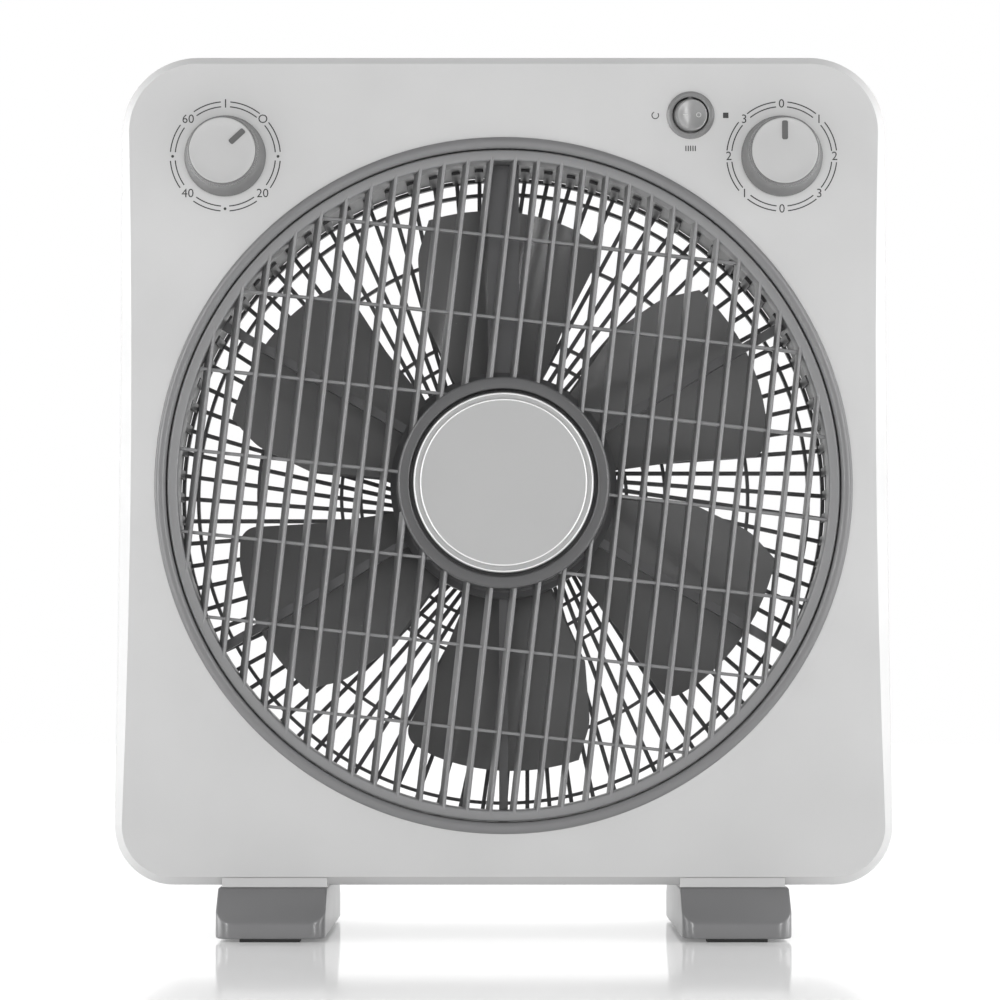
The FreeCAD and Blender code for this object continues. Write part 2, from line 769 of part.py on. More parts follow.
def blade_nut():
    wings = []
    core = turned([(motor_shaft_radius - 0.9, impeller_front - 7), (7, impeller_front - 7),
                   (9, impeller_front - 5), (9, impeller_front - fit_gap),
                   (motor_shaft_radius - 0.9, impeller_front - fit_gap)])
    for index in range(2):
        wing = block(-12, 12, impeller_front - 6, impeller_front - 1, -1.5, 1.5)
        wing.translate(Vector(0, 0, axis_height))
        wings.append(turn_about_axis(wing, 90 * index))
    bore = disc(motor_shaft_radius - 0.9, impeller_front - 10, 12)
    return core.multiFuse(wings).cut(bore)


def motor_shaft():
    back = rear_grille_front - 3
    rod = disc(motor_shaft_radius, impeller_front, back - impeller_front)
    thread = disc(motor_shaft_radius - 1, impeller_front - 8.5, 9)
    pin_hole = Part.makeCylinder(1.0, 30, at(-15, impeller_front + 13, axis_height), Vector(1, 0, 0))
    return rod.fuse(thread).cut(pin_hole)


def drive_pin():
    reach = motor_shaft_radius + 4.5
    return Part.makeCylinder(1.0 - fit_gap, 2 * reach, at(-reach, impeller_front + 13, axis_height),
                             Vector(1, 0, 0))


def motor_rotor():
    radius = stator_bore - air_gap
    core = tube(radius, motor_shaft_radius + fit_gap, stator_front, stator_stack)
    end_low = tube(radius - 2, radius - 8, stator_front - 3, 3.5)
    end_high = tube(radius - 2, radius - 8, stator_front + stator_stack - 0.5, 3.5)
    return core.multiFuse([end_low, end_high])


def motor_stator():
    half = stator_half
    stack = block(-half, half, stator_front, stator_front + stator_stack, axis_height - half,
                  axis_height + half)
    upright = [e for e in stack.Edges if abs(e.BoundBox.YMax - e.BoundBox.YMin) > stator_stack - 1]
    stack = stack.makeFillet(12.0, upright)
    holes = [disc(stator_bore, stator_front - 1, stator_stack + 2)]
    for index in range(8):
        spot = polar(stator_bore + 8, 22.5 + index * 45)
        holes.append(disc(5.5, stator_front - 1, stator_stack + 2, spot.x, spot.z))
    for x, z in through_screw_spots():
        holes.append(disc(small_screw + 0.3, stator_front - 1, stator_stack + 2, x, z))
    return stack.cut(Part.makeCompound(holes))


def through_screw_spots():
    reach = stator_half - 6.0
    return [(x, axis_height + z) for x in (-reach, reach) for z in (-reach, reach)]


def motor_windings():
    coils = []
    for index in range(8):
        spot = polar(stator_bore + 8, 22.5 + index * 45)
        coils.append(disc(5.1, stator_front - 6, stator_stack + 12, spot.x, spot.z))
    for start in (stator_front - 8, stator_front + stator_stack + 2):
        coils.append(tube(stator_bore + 13.5, stator_bore + 2.5, start, 6))
    return join(coils)


def bell(front, back, open_high):
    """A pressed end bell: a cup with a square flange on the stator and a bush seat at its closed end."""
    closed = front if open_high else back
    way = 1 if open_high else -1
    length = back - front

    def depth(step):
        return closed + way * step

    cup = turned([(8.0 + fit_gap, depth(0)), (bell_radius - 4, depth(0)), (bell_radius, depth(4)),
                  (bell_radius, depth(length)), (bell_radius - bell_wall, depth(length)),
                  (bell_radius - bell_wall, depth(4.6)), (bell_radius - 4.6, depth(bell_wall)),
                  (8.0 + fit_gap + bell_wall, depth(bell_wall)), (8.0 + fit_gap + bell_wall, depth(8)),
                  (8.0 + fit_gap, depth(8))])
    half = stator_half
    plate = block(-half, half, *sorted((depth(length - bell_wall), depth(length))),
                  axis_height - half, axis_height + half)
    upright = [e for e in plate.Edges if abs(e.BoundBox.YMax - e.BoundBox.YMin) > bell_wall - 0.1
               and abs(e.BoundBox.XMax - e.BoundBox.XMin) < 0.1
               and abs(e.BoundBox.ZMax - e.BoundBox.ZMin) < 0.1]
    plate = plate.makeFillet(11.0, upright).cut(disc(bell_radius - bell_wall, front - 1, length + 2))
    holes = [disc(small_screw + 0.2, front - 1, length + 2, x, z) for x, z in through_screw_spots()]
    for index in range(6):
        spot = polar(24.0, index * 60)
        holes.append(disc(5.0, *sorted_span(depth(-1), depth(3)), spot.x, spot.z))
    return cup.fuse(plate).cut(Part.makeCompound(holes))


def sorted_span(first, second):
    low, high = sorted((first, second))
    return low, high - low


def motor_front_bell():
    return bell(motor_bell_front, stator_front - fit_gap, True)


def rear_bell_back():
    return rear_grille_front - fit_gap


def motor_rear_bell():
    shape = bell(stator_front + stator_stack + fit_gap, rear_bell_back(), False)
    holes = [disc(screw_hole, rear_bell_back() - 6, 8, x, z) for x, z in mount_screw_spots()]
    adds = []
    for x, z in mount_screw_spots():
        adds.append(disc(4.0, stator_front + stator_stack + fit_gap, rear_bell_back() - stator_front
                         - stator_stack - fit_gap, x, z))
    return shape.multiFuse(adds).cut(Part.makeCompound(holes))


def mount_screw_spots():
    spots = [polar(mount_screw_circle, index * 90) for index in range(4)]
    return [(spot.x, spot.z) for spot in spots]


def bush(depth_low):
    ring = tube(8.0, motor_shaft_radius + running_gap, depth_low, 7.0)
    return ring


def motor_front_bush():
    return bush(motor_bell_front + 0.5)


def motor_rear_bush():
    return bush(rear_bell_back() - 7.5)


def motor_through_screws():
    seat = stator_front - bell_wall - 2 * fit_gap
    return Part.makeCompound([screw(x, z, seat, stator_stack + 2 * bell_wall + 6, 1)
                              for x, z in through_screw_spots()])


def motor_mount_screws():
    seat = rear_grille_front + rear_grille_thickness + fit_gap
    return Part.makeCompound([screw(x, z, seat, screw_length, -1, small_screw, small_head + 0.6)
                              for x, z in mount_screw_spots()])


def spoke_corner(radius, angle, sign):
    """Where one edge of a spoke meets a circle. The spoke's line passes beside the axis."""
    shift = spoke_offset + sign * spoke_width / 2
    return angle + math.degrees(math.asin(shift / radius))


def rim_tabs():
    """Short tabs at the rim that run forward from the ends of the spokes, inside the air duct."""
    tabs = []
    for index in range(spoke_count):
        angle = index * 360 / spoke_count + math.degrees(math.asin(spoke_offset / rear_grille_ring))
        tab = block(rear_grille_outer - tab_thickness, rear_grille_outer - fit_gap, rear_grille_front - tab_length,
                    rear_grille_front + 1, axis_height - tab_width / 2, axis_height + tab_width / 2)
        tabs.append(turn_about_axis(tab, -angle))
    return tabs


def rear_grille():
    plane = rear_grille_front
    bounds = [mount_plate_radius] + inner_rings + [rear_grille_ring]
    wires = []
    for low, high in zip(bounds, bounds[1:]):
        inner = low if low == bounds[0] else low + ring_width / 2
        outer = high if high == bounds[-1] else high - ring_width / 2
        for index in range(spoke_count):
            angle = index * 360 / spoke_count
            following = angle + 360 / spoke_count
            near_a = spoke_corner(inner, angle, 1)
            near_b = spoke_corner(inner, following, -1)
            far_a = spoke_corner(outer, angle, 1)
            far_b = spoke_corner(outer, following, -1)
            near = [polar(inner, turn, plane) for turn in (near_a, (near_a + near_b) / 2, near_b)]
            far = [polar(outer, turn, plane) for turn in (far_a, (far_a + far_b) / 2, far_b)]
            wires.append(Part.Wire([Part.Arc(*near).toShape(), Part.makeLine(near[2], far[2]),
                                    Part.Arc(*far[::-1]).toShape(), Part.makeLine(far[0], near[0])]))
    rim = Part.Wire([Part.Circle(at(0, plane, axis_height), ACROSS, rear_grille_outer).toShape()])
    face = Part.Face(rim)
    openings = Part.makeCompound([Part.Face(wire) for wire in wires])
    plate = face.cut(openings).extrude(ACROSS * rear_grille_thickness)
    rib = tube(mount_plate_radius, mount_plate_radius - 3, plane + rear_grille_thickness - 0.5, 2.0)
    shape = plate.multiFuse(ears(0, plane, plane + rear_grille_thickness) + rim_tabs() + [rib])
    holes = [disc(small_screw + 0.2, plane - 1, 8, x, z)
             for x, z in rear_grille_ears() + mount_screw_spots()]
    holes.append(disc(motor_shaft_radius + 6, plane - 1, 8))
    return shape.cut(Part.makeCompound(holes))


def rear_grille_screws():
    seat = rear_grille_front + rear_grille_thickness + fit_gap
    return Part.makeCompound([screw(x, z, seat, screw_length, -1) for x, z in rear_grille_ears()])


def housing_screws():
    seat = body_screw_seat() + fit_gap
    return Part.makeCompound([screw(x, z, seat, seat - front_shell_depth + 10, -1, small_screw, small_head - 0.2)
                              for x, z in body_bosses()])


def knob(x):
    base, face = knob_base, knob_face
    skirt = []
    steps = 8
    top = -knob_lift - knob_height + 1.2
    for index in range(steps + 1):
        part = index / steps
        flare = (1 - part) ** 2.2
        skirt.append((face + (base - face - 0.6) * flare, -knob_lift - 2.4 - (knob_height - 4.6) * part))
    stem = 5.5
    profile = [(0, -knob_lift), (base - 0.4, -knob_lift), (base, -knob_lift - 0.6), (base, -knob_lift - 1.8)]
    profile += skirt + [(face, top), (face - 0.9, top - 1.0), (knob_cap_radius + fit_gap, top - 1.0),
                        (knob_cap_radius + fit_gap, top + 0.8), (0, top + 0.8)]
    solid = turned(profile, x, dial_height)
    hollow = tube(base - 2.6, stem, -knob_lift - 4.0, 5.0, x, dial_height)
    shaft_hole = disc(dial_shaft_radius + fit_gap, -knob_height + 5, 40, x, dial_height)
    return solid.cut(hollow).cut(shaft_hole)


def knob_cap(x, turn):
    top = -knob_lift - knob_height + 1.2
    cap = turned([(0, top - 0.9), (knob_cap_radius - 0.6, top - 0.9), (knob_cap_radius, top - 0.3),
                  (knob_cap_radius, top + 0.75), (0, top + 0.75)], x, dial_height)
    return cap.cut(turn_about_axis(pointer_bar(x, fit_gap, 0.5), turn, x, dial_height))


def pointer_bar(x, grow, deep):
    top = -knob_lift - knob_height + 1.2 - 0.9
    half = pointer_width / 2 + grow
    bar = block(x - half, x + half, top - 0.3, top + deep + grow, dial_height + pointer_inner - grow,
                dial_height + pointer_outer + grow)
    return bar


def pointer(x, turn):
    return turn_about_axis(pointer_bar(x, 0, 0.5), turn, x, dial_height)


def dial_shaft(x, turn):
    start = -knob_height + 6
    rod = disc(dial_shaft_radius, start, wall + 14 - start, x, dial_height)
    flat = block(x - 4, x + 4, start - 1, -1, dial_height + 1.8, dial_height + 4)
    return turn_about_axis(rod.cut(flat), turn, x, dial_height)


def switch_case(x, half, depth, tabs):
    start = wall + fit_gap
    case = block(x - half, x + half, start, start + depth, dial_height - half, dial_height + half)
    upright = [e for e in case.Edges if abs(e.BoundBox.YMax - e.BoundBox.YMin) > depth - 1]
    case = case.makeFillet(4.0, upright)
    adds = []
    for index in range(tabs):
        shift = (index - (tabs - 1) / 2) * 6.5
        adds.append(block(x + shift - 2.4, x + shift + 2.4, start + depth - 0.5, start + depth + 8,
                          dial_height - 0.4, dial_height + 0.4))
    holes = [disc(dial_shaft_radius + running_gap, start - 1, wall + 16 - start, x, dial_height)]
    for side in (-1, 1):
        spot = x + side * switch_screw_pitch / 2
        holes.append(disc(small_screw + fit_gap, start - 1, 9, spot, dial_height))
    return case.multiFuse(adds).cut(Part.makeCompound(holes))


def switch_screws():
    seats = [side * dial_x + way * switch_screw_pitch / 2 for side in (-1, 1) for way in (-1, 1)]
    return Part.makeCompound([screw(x, dial_height, -fit_gap, 8.0, 1, small_screw, 2.8) for x in seats])


def rocker_switch_body():
    profile = [(rocker_bore, -1.4), (rocker_bore + 0.6, -2.0), (rocker_bezel - 1.2, -2.0),
               (rocker_bezel, -0.8), (rocker_bezel, -fit_gap), (rocker_barrel, -fit_gap),
               (rocker_barrel, 22.0), (0, 22.0), (0, 12.5), (rocker_bore, 12.5)]
    shape = turned(profile, rocker_x, rocker_height)
    adds = []
    for shift in (-5.0, 5.0):
        adds.append(block(rocker_x + shift - 0.4, rocker_x + shift + 0.4, 21.5, 30.0,
                          rocker_height - 2.4, rocker_height + 2.4))
    sockets = Part.makeCylinder(trunnion_radius + running_gap, 2 * (rocker_bore + 1.1),
                                at(rocker_x, rocker_pivot_depth, rocker_height - rocker_bore - 1.1),
                                Vector(0, 0, 1))
    return shape.multiFuse(adds).cut(sockets)


def rocker_button():
    centre = at(rocker_x, rocker_pivot_depth, rocker_height)
    ball = Part.makeSphere(rocker_ball, centre)
    reach = rocker_ball + 2
    front = rocker_pivot_depth - rocker_face
    valley = [(-reach, front - 1.2), (0, front), (reach, front - 1.2), (reach, front - 9), (-reach, front - 9)]
    corners = [at(rocker_x + x, depth, rocker_height - reach) for x, depth in valley]
    cut = Part.Face(Part.makePolygon(corners + corners[:1])).extrude(Vector(0, 0, 2 * reach))
    back = block(rocker_x - reach, rocker_x + reach, rocker_pivot_depth + 6, rocker_pivot_depth + 12,
                 rocker_height - reach, rocker_height + reach)
    pins = Part.makeCylinder(trunnion_radius, 2 * (rocker_bore + 0.9),
                             at(rocker_x, rocker_pivot_depth, rocker_height - rocker_bore - 0.9),
                             Vector(0, 0, 1))
    shape = ball.cut(cut).cut(back).fuse(pins)
    shape.rotate(centre, Vector(0, 0, 1), rocker_tilt)
    return shape


def foot(side):
    low, high = foot_inner_x, foot_inner_x + foot_width
    front, back = -foot_reach, body_depth + foot_reach
    corners = [(front, foot_lift), (front, foot_front_height), (0.6, foot_top), (body_depth - 0.6, foot_top),
               (back, foot_front_height), (back, foot_lift)]
    points = [at(low, depth, z) for depth, z in corners]
    shape = Part.Face(Part.makePolygon(points + points[:1])).extrude(Vector(foot_width, 0, 0))
    upright = [e for e in shape.Edges if abs(e.BoundBox.ZMax - e.BoundBox.ZMin) > 5
               and abs(e.BoundBox.YMax - e.BoundBox.YMin) < 0.01
               and abs(e.BoundBox.XMax - e.BoundBox.XMin) < 0.01]
    shape = shape.makeFillet(6.0, upright)
    outer_top = [e for e in shape.Edges if e.BoundBox.XMin > high - 0.01 and e.BoundBox.ZMin > foot_front_height]
    shape = shape.makeFillet(3.0, outer_top)
    pocket = block(low - 1, high - foot_wall, foot_end_wall - loose_gap,
                   body_depth - foot_end_wall + loose_gap, foot_floor, foot_top + 5)
    middle = foot_screw_x()
    up = Vector(0, 0, 1)
    hollow = block(low + foot_shell, high - foot_shell, pad_depth, body_depth - pad_depth, foot_lift - 1,
                   foot_hollow)
    posts = [Part.makeCylinder(7.0, foot_floor - foot_lift, at(middle, depth, foot_lift), up)
             for depth in foot_screw_depths()]
    holes = [pocket, hollow.cut(Part.makeCompound(posts))]
    for depth in foot_screw_depths():
        holes.append(Part.makeCylinder(small_screw + 0.2, foot_floor, at(middle, depth, foot_lift - 1), up))
        holes.append(Part.makeCylinder(4.5, 4, at(middle, depth, foot_lift - 1), up))
    for centre in pad_depths():
        holes.append(block(middle - pad_length / 2 - fit_gap, middle + pad_length / 2 + fit_gap,
                           centre - pad_depth / 2 - fit_gap, centre + pad_depth / 2 + fit_gap,
                           foot_lift - 1, pad_height + fit_gap))
    shape = shape.cut(Part.makeCompound(holes))
    return shape if side > 0 else mirrored(shape)


def pad_depths():
    near = -foot_reach + pad_depth / 2 + 1.0
    return [near, body_depth - near]


def rubber_pads():
    pads = []
    middle = foot_screw_x()
    for side in (-1, 1):
        for centre in pad_depths():
            x = side * middle
            pads.append(block(x - pad_length / 2, x + pad_length / 2, centre - pad_depth / 2,
                              centre + pad_depth / 2, 0, pad_height))
    return Part.makeCompound(pads)


def foot_screws():
    screws = []
    middle = foot_screw_x()
    up = Vector(0, 0, 1)
    seat = foot_lift + 3 - fit_gap
    length = ground_gap + wall + 6 - seat
    for side in (-1, 1):
        for depth in foot_screw_depths():
            spot = at(side * middle, depth, seat)
            shank = Part.makeCylinder(small_screw, length, spot, up)
            head = Part.makeCylinder(3.8, head_height, spot, up * -1)
            screws.append(shank.fuse(head))
    return Part.makeCompound(screws)


def run_capacitor():
    x, z = capacitor_screw()
    seat = wall + 5 + fit_gap
    case = block(x - 46, x - 6, seat, seat + 15, z - 13, z + 9)
    upright = [e for e in case.Edges if abs(e.BoundBox.YMax - e.BoundBox.YMin) > 14]
    case = case.makeFillet(2.0, upright)
    ear = block(x - 8, x, seat, seat + 2, z - 4, z + 4).fuse(disc(4, seat, 2, x, z))
    return case.fuse(ear).cut(disc(small_screw + 0.2, seat - 1, 5, x, z))


def capacitor_screw_piece():
    x, z = capacitor_screw()
    return screw(x, z, wall + 7 + 2 * fit_gap, 6.0, -1)


def cord_gland():
    back = body_depth
    inside = body_depth - wall - fit_gap
    profile = [(gland_bore, inside - 3), (gland_neck + 2.0, inside - 3), (gland_neck + 2.0, inside),
               (gland_neck, inside), (gland_neck, back + fit_gap), (gland_neck + 3.0, back + fit_gap),
               (gland_neck + 3.0, back + 2.0), (gland_neck + 1.0, back + 4.5), (gland_bore + 0.8, back + 4.5),
               (gland_bore, back + 3.7)]
    return turned(profile, gland_x, gland_height)


def cord_clamp():
    seat = clamp_depth() + 1 - fit_gap
    plate = block(gland_x - clamp_reach - 4, gland_x + clamp_reach + 4, seat - 3, seat, gland_height - 4.5, gland_height + 4.5)
    holes = [disc(small_screw + 0.2, seat - 5, 8, x, z) for x, z in clamp_screws()]
    groove = Part.makeCylinder(3.4, 30, at(gland_x, seat + 1.6, gland_height - 15), Vector(0, 0, 1))
    return plate.cut(groove).cut(Part.makeCompound(holes))


def cord_clamp_screws():
    seat = clamp_depth() - 2 - 2 * fit_gap
    return Part.makeCompound([screw(x, z, seat, 10.0, 1) for x, z in clamp_screws()])


def terminal_block():
    x, z = terminal_screw()
    back = terminal_back() - fit_gap
    case = block(x - 16, x + 16, back - 14, back, z - 8, z + 8)
    holes = [disc(small_screw + 0.2, back - 20, 30, x, z), disc(3.5, back - 15, 11, x, z)]
    for shift in (-11.5, -6.0, 6.0, 11.5):
        holes.append(disc(1.9, back - 15, 8, x + shift, z))
        entry = Part.makeCylinder(1.7, 20, at(x + shift, back - 5, z - 10), Vector(0, 0, 1))
        holes.append(entry)
    return case.cut(Part.makeCompound(holes))


def terminal_block_screw():
    x, z = terminal_screw()
    return screw(x, z, terminal_back() - 4 - 2 * fit_gap, 9.0, 1, small_screw, 3.0)


PIECES = {
    "front_housing": front_housing,
    "rear_housing": rear_housing,
    "air_duct": air_duct,
    "rear_grille": rear_grille,
    "trim_ring": trim_ring,
    "front_spider": front_spider,
    "louver_grille": louver_grille,
    "grille_cap": grille_cap,
    "grille_screw": grille_screw,
    "grille_motor_shaft": grille_motor_shaft,
    "grille_motor_can": grille_motor_can,
    "grille_motor_screws": grille_motor_screws,
    "spider_screws": spider_screws,
    "impeller": impeller,
    "blade_nut": blade_nut,
    "motor_shaft": motor_shaft,
    "drive_pin": drive_pin,
    "motor_rotor": motor_rotor,
    "motor_stator": motor_stator,
    "motor_windings": motor_windings,
    "motor_front_bell": motor_front_bell,
    "motor_rear_bell": motor_rear_bell,
    "motor_front_bush": motor_front_bush,
    "motor_rear_bush": motor_rear_bush,
    "motor_through_screws": motor_through_screws,
    "motor_mount_screws": motor_mount_screws,
    "rear_grille_screws": rear_grille_screws,
    "housing_screws": housing_screws,
    "timer_knob": lambda: knob(-dial_x),
    "timer_knob_cap": lambda: knob_cap(-dial_x, off_turn),
    "timer_pointer": lambda: pointer(-dial_x, off_turn),
    "timer_shaft": lambda: dial_shaft(-dial_x, off_turn),
    "timer_case": lambda: switch_case(-dial_x, timer_half, timer_depth, 2),
    "speed_knob": lambda: knob(dial_x),
    "speed_knob_cap": lambda: knob_cap(dial_x, 0),
    "speed_pointer": lambda: pointer(dial_x, 0),
    "speed_shaft": lambda: dial_shaft(dial_x, 0),
    "speed_switch_case": lambda: switch_case(dial_x, speed_half, speed_depth, 4),
    "switch_screws": switch_screws,
    "rocker_switch_body": rocker_switch_body,
    "rocker_button": rocker_button,
    "left_foot_bracket": lambda: foot_bracket(-1),
    "right_foot_bracket": lambda: foot_bracket(1),
    "left_foot": lambda: foot(-1),
    "right_foot": lambda: foot(1),
    "rubber_pads": rubber_pads,
    "foot_screws": foot_screws,
    "run_capacitor": run_capacitor,
    "capacitor_screw": capacitor_screw_piece,
    "cord_gland": cord_gland,
    "cord_clamp": cord_clamp,
    "cord_clamp_screws": cord_clamp_screws,
    "terminal_block": terminal_block,
    "terminal_block_screw": terminal_block_screw,
}

os.makedirs("parts", exist_ok=True)
for name, make in PIECES.items():
    make().exportStep(os.path.join("parts", name + ".step"))
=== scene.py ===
import math

import bpy
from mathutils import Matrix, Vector


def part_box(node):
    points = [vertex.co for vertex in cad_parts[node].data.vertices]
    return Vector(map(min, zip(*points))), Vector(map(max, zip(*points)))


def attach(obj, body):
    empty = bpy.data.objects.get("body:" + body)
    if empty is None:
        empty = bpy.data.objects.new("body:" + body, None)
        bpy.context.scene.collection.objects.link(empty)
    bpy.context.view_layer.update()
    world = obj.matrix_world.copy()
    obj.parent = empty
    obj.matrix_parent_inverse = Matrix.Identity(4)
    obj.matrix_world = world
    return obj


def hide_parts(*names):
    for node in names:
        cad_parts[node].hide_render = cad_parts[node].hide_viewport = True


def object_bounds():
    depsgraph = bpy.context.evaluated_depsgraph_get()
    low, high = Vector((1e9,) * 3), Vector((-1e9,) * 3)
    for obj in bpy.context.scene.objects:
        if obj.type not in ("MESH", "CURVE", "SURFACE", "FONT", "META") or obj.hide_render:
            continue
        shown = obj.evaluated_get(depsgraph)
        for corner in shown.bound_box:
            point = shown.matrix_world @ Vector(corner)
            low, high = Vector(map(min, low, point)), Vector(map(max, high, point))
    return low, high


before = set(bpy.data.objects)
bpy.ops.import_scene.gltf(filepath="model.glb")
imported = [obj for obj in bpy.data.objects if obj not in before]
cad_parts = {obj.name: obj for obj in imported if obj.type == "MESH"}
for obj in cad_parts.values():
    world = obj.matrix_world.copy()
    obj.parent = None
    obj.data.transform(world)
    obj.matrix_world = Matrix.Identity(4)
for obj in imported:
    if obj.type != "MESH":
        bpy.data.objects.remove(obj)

cad_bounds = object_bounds()

# The camera stands about 1.7 m in front of the fan, a little above the floor, and looks slightly
# up, so that the body's sides draw together towards the top.
mm = 0.001
face_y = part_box("front_housing")[0].y
bpy.ops.object.camera_add(location=(-1.8 * mm, face_y - 1700 * mm, 125.4 * mm),
                          rotation=(math.radians(93.24), 0, 0))
camera = bpy.context.object
camera.name = "product_camera"
camera.data.lens = 120.8
camera.data.sensor_width = 36
bpy.context.scene.camera = camera


# The studio: a polished white table, a white surround that is a little dimmer in front of the
# fan than behind it, a tall soft box beside each flank, and a narrow strip lamp on each side in
# front that draws a thin line of light along every rounded edge.
def linear(colour):
    """The linear values of an sRGB hex colour, with full alpha."""
    parts = [int(colour[i:i + 2], 16) / 255 for i in (1, 3, 5)]
    return [p / 12.92 if p <= 0.04045 else ((p + 0.055) / 1.055) ** 2.4 for p in parts] + [1.0]


def add_node(tree, kind, values=None, feeds=None, **settings):
    """One shader node: the values of its own sockets, the sockets that feed it, its settings."""
    node = tree.nodes.new("ShaderNode" + kind)
    for name, value in settings.items():
        setattr(node, name, value)
    for name, value in (values or {}).items():
        node.inputs[name].default_value = value
    for name, source in (feeds or {}).items():
        tree.links.new(source, node.inputs[name])
    return node


def new_material(name):
    material = bpy.data.materials.new(name)
    material.use_nodes = True
    material.node_tree.nodes.clear()
    return material, material.node_tree


bpy.context.scene.view_settings.view_transform = "Standard"

front_light = 0.42
world = bpy.data.worlds.new("white_studio")
bpy.context.scene.world = world
world.use_nodes = True
tree = world.node_tree
tree.nodes.clear()
direction = add_node(tree, "TexCoord")
axes = add_node(tree, "SeparateXYZ", feeds={"Vector": direction.outputs["Generated"]})
behind = add_node(tree, "MapRange",
                  {"From Min": -0.15, "From Max": 0.35, "To Min": front_light, "To Max": 1.0},
                  {"Value": axes.outputs["Y"]})
sky = add_node(tree, "Background", {"Color": linear("#ffffff")}, {"Strength": behind.outputs["Result"]})
add_node(tree, "OutputWorld", feeds={"Surface": sky.outputs["Background"]})

bpy.ops.mesh.primitive_plane_add(size=12, location=(0, 0, 0))
table = bpy.context.object
table.name = "studio_table"
material, tree = new_material("polished_white_acrylic")
surface = add_node(tree, "BsdfPrincipled", {"Base Color": linear("#ffffff"), "Roughness": 0.08, "IOR": 1.49,
                                            "Emission Color": linear("#ffffff"), "Emission Strength": 0.12})
add_node(tree, "OutputMaterial", feeds={"Surface": surface.outputs["BSDF"]})
table.data.materials.append(material)


def lamp(name, place, target, size, power, shines_on=("diffuse", "glossy")):
    bpy.ops.object.light_add(type="AREA", location=place)
    light = bpy.context.object
    light.name = name
    light.data.shape = "RECTANGLE"
    light.data.size, light.data.size_y = size
    light.data.energy = power
    light.visible_diffuse = "diffuse" in shines_on
    light.visible_glossy = "glossy" in shines_on
    light.rotation_euler = (Vector(target) - Vector(place)).to_track_quat("-Z", "Y").to_euler()


fan_middle = Vector((0, 0, cad_bounds[1][2] / 2))
for side, word in ((-1, "left"), (1, "right")):
    lamp(word + "_soft_box", (side * 1.2, 0.0, 0.35), fan_middle, (0.7, 1.2), 12)
    lamp(word + "_strip", (side * 1.0, -1.3, 0.5), fan_middle, (0.12, 1.4), 12, ("glossy",))
lamp("front_fill", (0, -2.2, 0.30), fan_middle, (1.0, 0.8), 17, ("diffuse",))


# The body is two shells of light grey ABS, moulded with a fine satin grain, and the round air
# duct, the two foot blocks and the terminal block are of the same plastic. Up close the satin
# face shows tiny pits, and its gloss is a little uneven where hands and cloths have been.
def moulded_plastic(name, colour, roughness, grain=0.9, pit=0.03, mottle=0.03, sheen=0.0):
    """Injection-moulded plastic. Grain is drawn coarser than the real 0.2 mm so that it shows."""
    material, tree = new_material(name)
    place = add_node(tree, "TexCoord").outputs["Object"]
    grain_noise = add_node(tree, "TexNoise", {"Scale": 1 / (grain * mm), "Detail": 3.0, "Roughness": 0.6},
                           {"Vector": place})
    cloud = add_node(tree, "TexNoise", {"Scale": 1 / (55 * mm), "Detail": 2.0, "Roughness": 0.4},
                     {"Vector": place})
    scuff = add_node(tree, "TexNoise", {"Scale": 1 / (14 * mm), "Detail": 3.0, "Roughness": 0.5},
                     {"Vector": place})
    base = linear(colour)
    shade = add_node(tree, "ValToRGB", feeds={"Fac": cloud.outputs["Fac"]})
    shade.color_ramp.elements[0].position = 0.30
    shade.color_ramp.elements[0].color = [c * (1 - mottle) for c in base[:3]] + [1.0]
    shade.color_ramp.elements[1].position = 0.70
    shade.color_ramp.elements[1].color = [min(1.0, c * (1 + mottle)) for c in base[:3]] + [1.0]
    rub = add_node(tree, "MapRange", {"From Min": 0.2, "From Max": 0.8, "To Min": roughness * 1.05,
                                      "To Max": roughness * 0.93}, {"Value": scuff.outputs["Fac"]})
    fine = add_node(tree, "MapRange", {"To Min": -0.02, "To Max": 0.02},
                    {"Value": grain_noise.outputs["Fac"]})
    gloss = add_node(tree, "Math", feeds={0: rub.outputs["Result"], 1: fine.outputs["Result"]},
                     operation="ADD")
    pits = add_node(tree, "Bump", {"Strength": 0.16, "Distance": pit * mm},
                    {"Height": grain_noise.outputs["Fac"]})
    surface = add_node(tree, "BsdfPrincipled", {"IOR": 1.52, "Coat Weight": sheen, "Coat Roughness": 0.2},
                       {"Base Color": shade.outputs["Color"], "Roughness": gloss.outputs["Value"],
                        "Normal": pits.outputs["Normal"]})
    add_node(tree, "OutputMaterial", feeds={"Surface": surface.outputs["BSDF"]})
    return material


def dress(material, *names):
    """Gives a material to CAD pieces, whose shape stays as it is."""
    for name in names:
        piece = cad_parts[name]
        piece.data.materials.clear()
        piece.data.materials.append(material)


satin_abs = moulded_plastic("satin_moulded_light_abs", "#c6c6c6", 0.42)
dress(satin_abs, "front_housing", "rear_housing", "air_duct", "left_foot_bracket", "right_foot_bracket",
      "terminal_block")


# The small dark parts inside the body: the switch cases, the capacitor, the cord inlet and its
# clamp. They are black moulded nylon and phenolic, duller than the outside.
black_nylon = moulded_plastic("dull_moulded_black_nylon", "#2b2b2d", 0.55, mottle=0.10)
dress(black_nylon, "timer_case", "speed_switch_case", "cord_gland", "cord_clamp", "run_capacitor",
      "blade_nut")


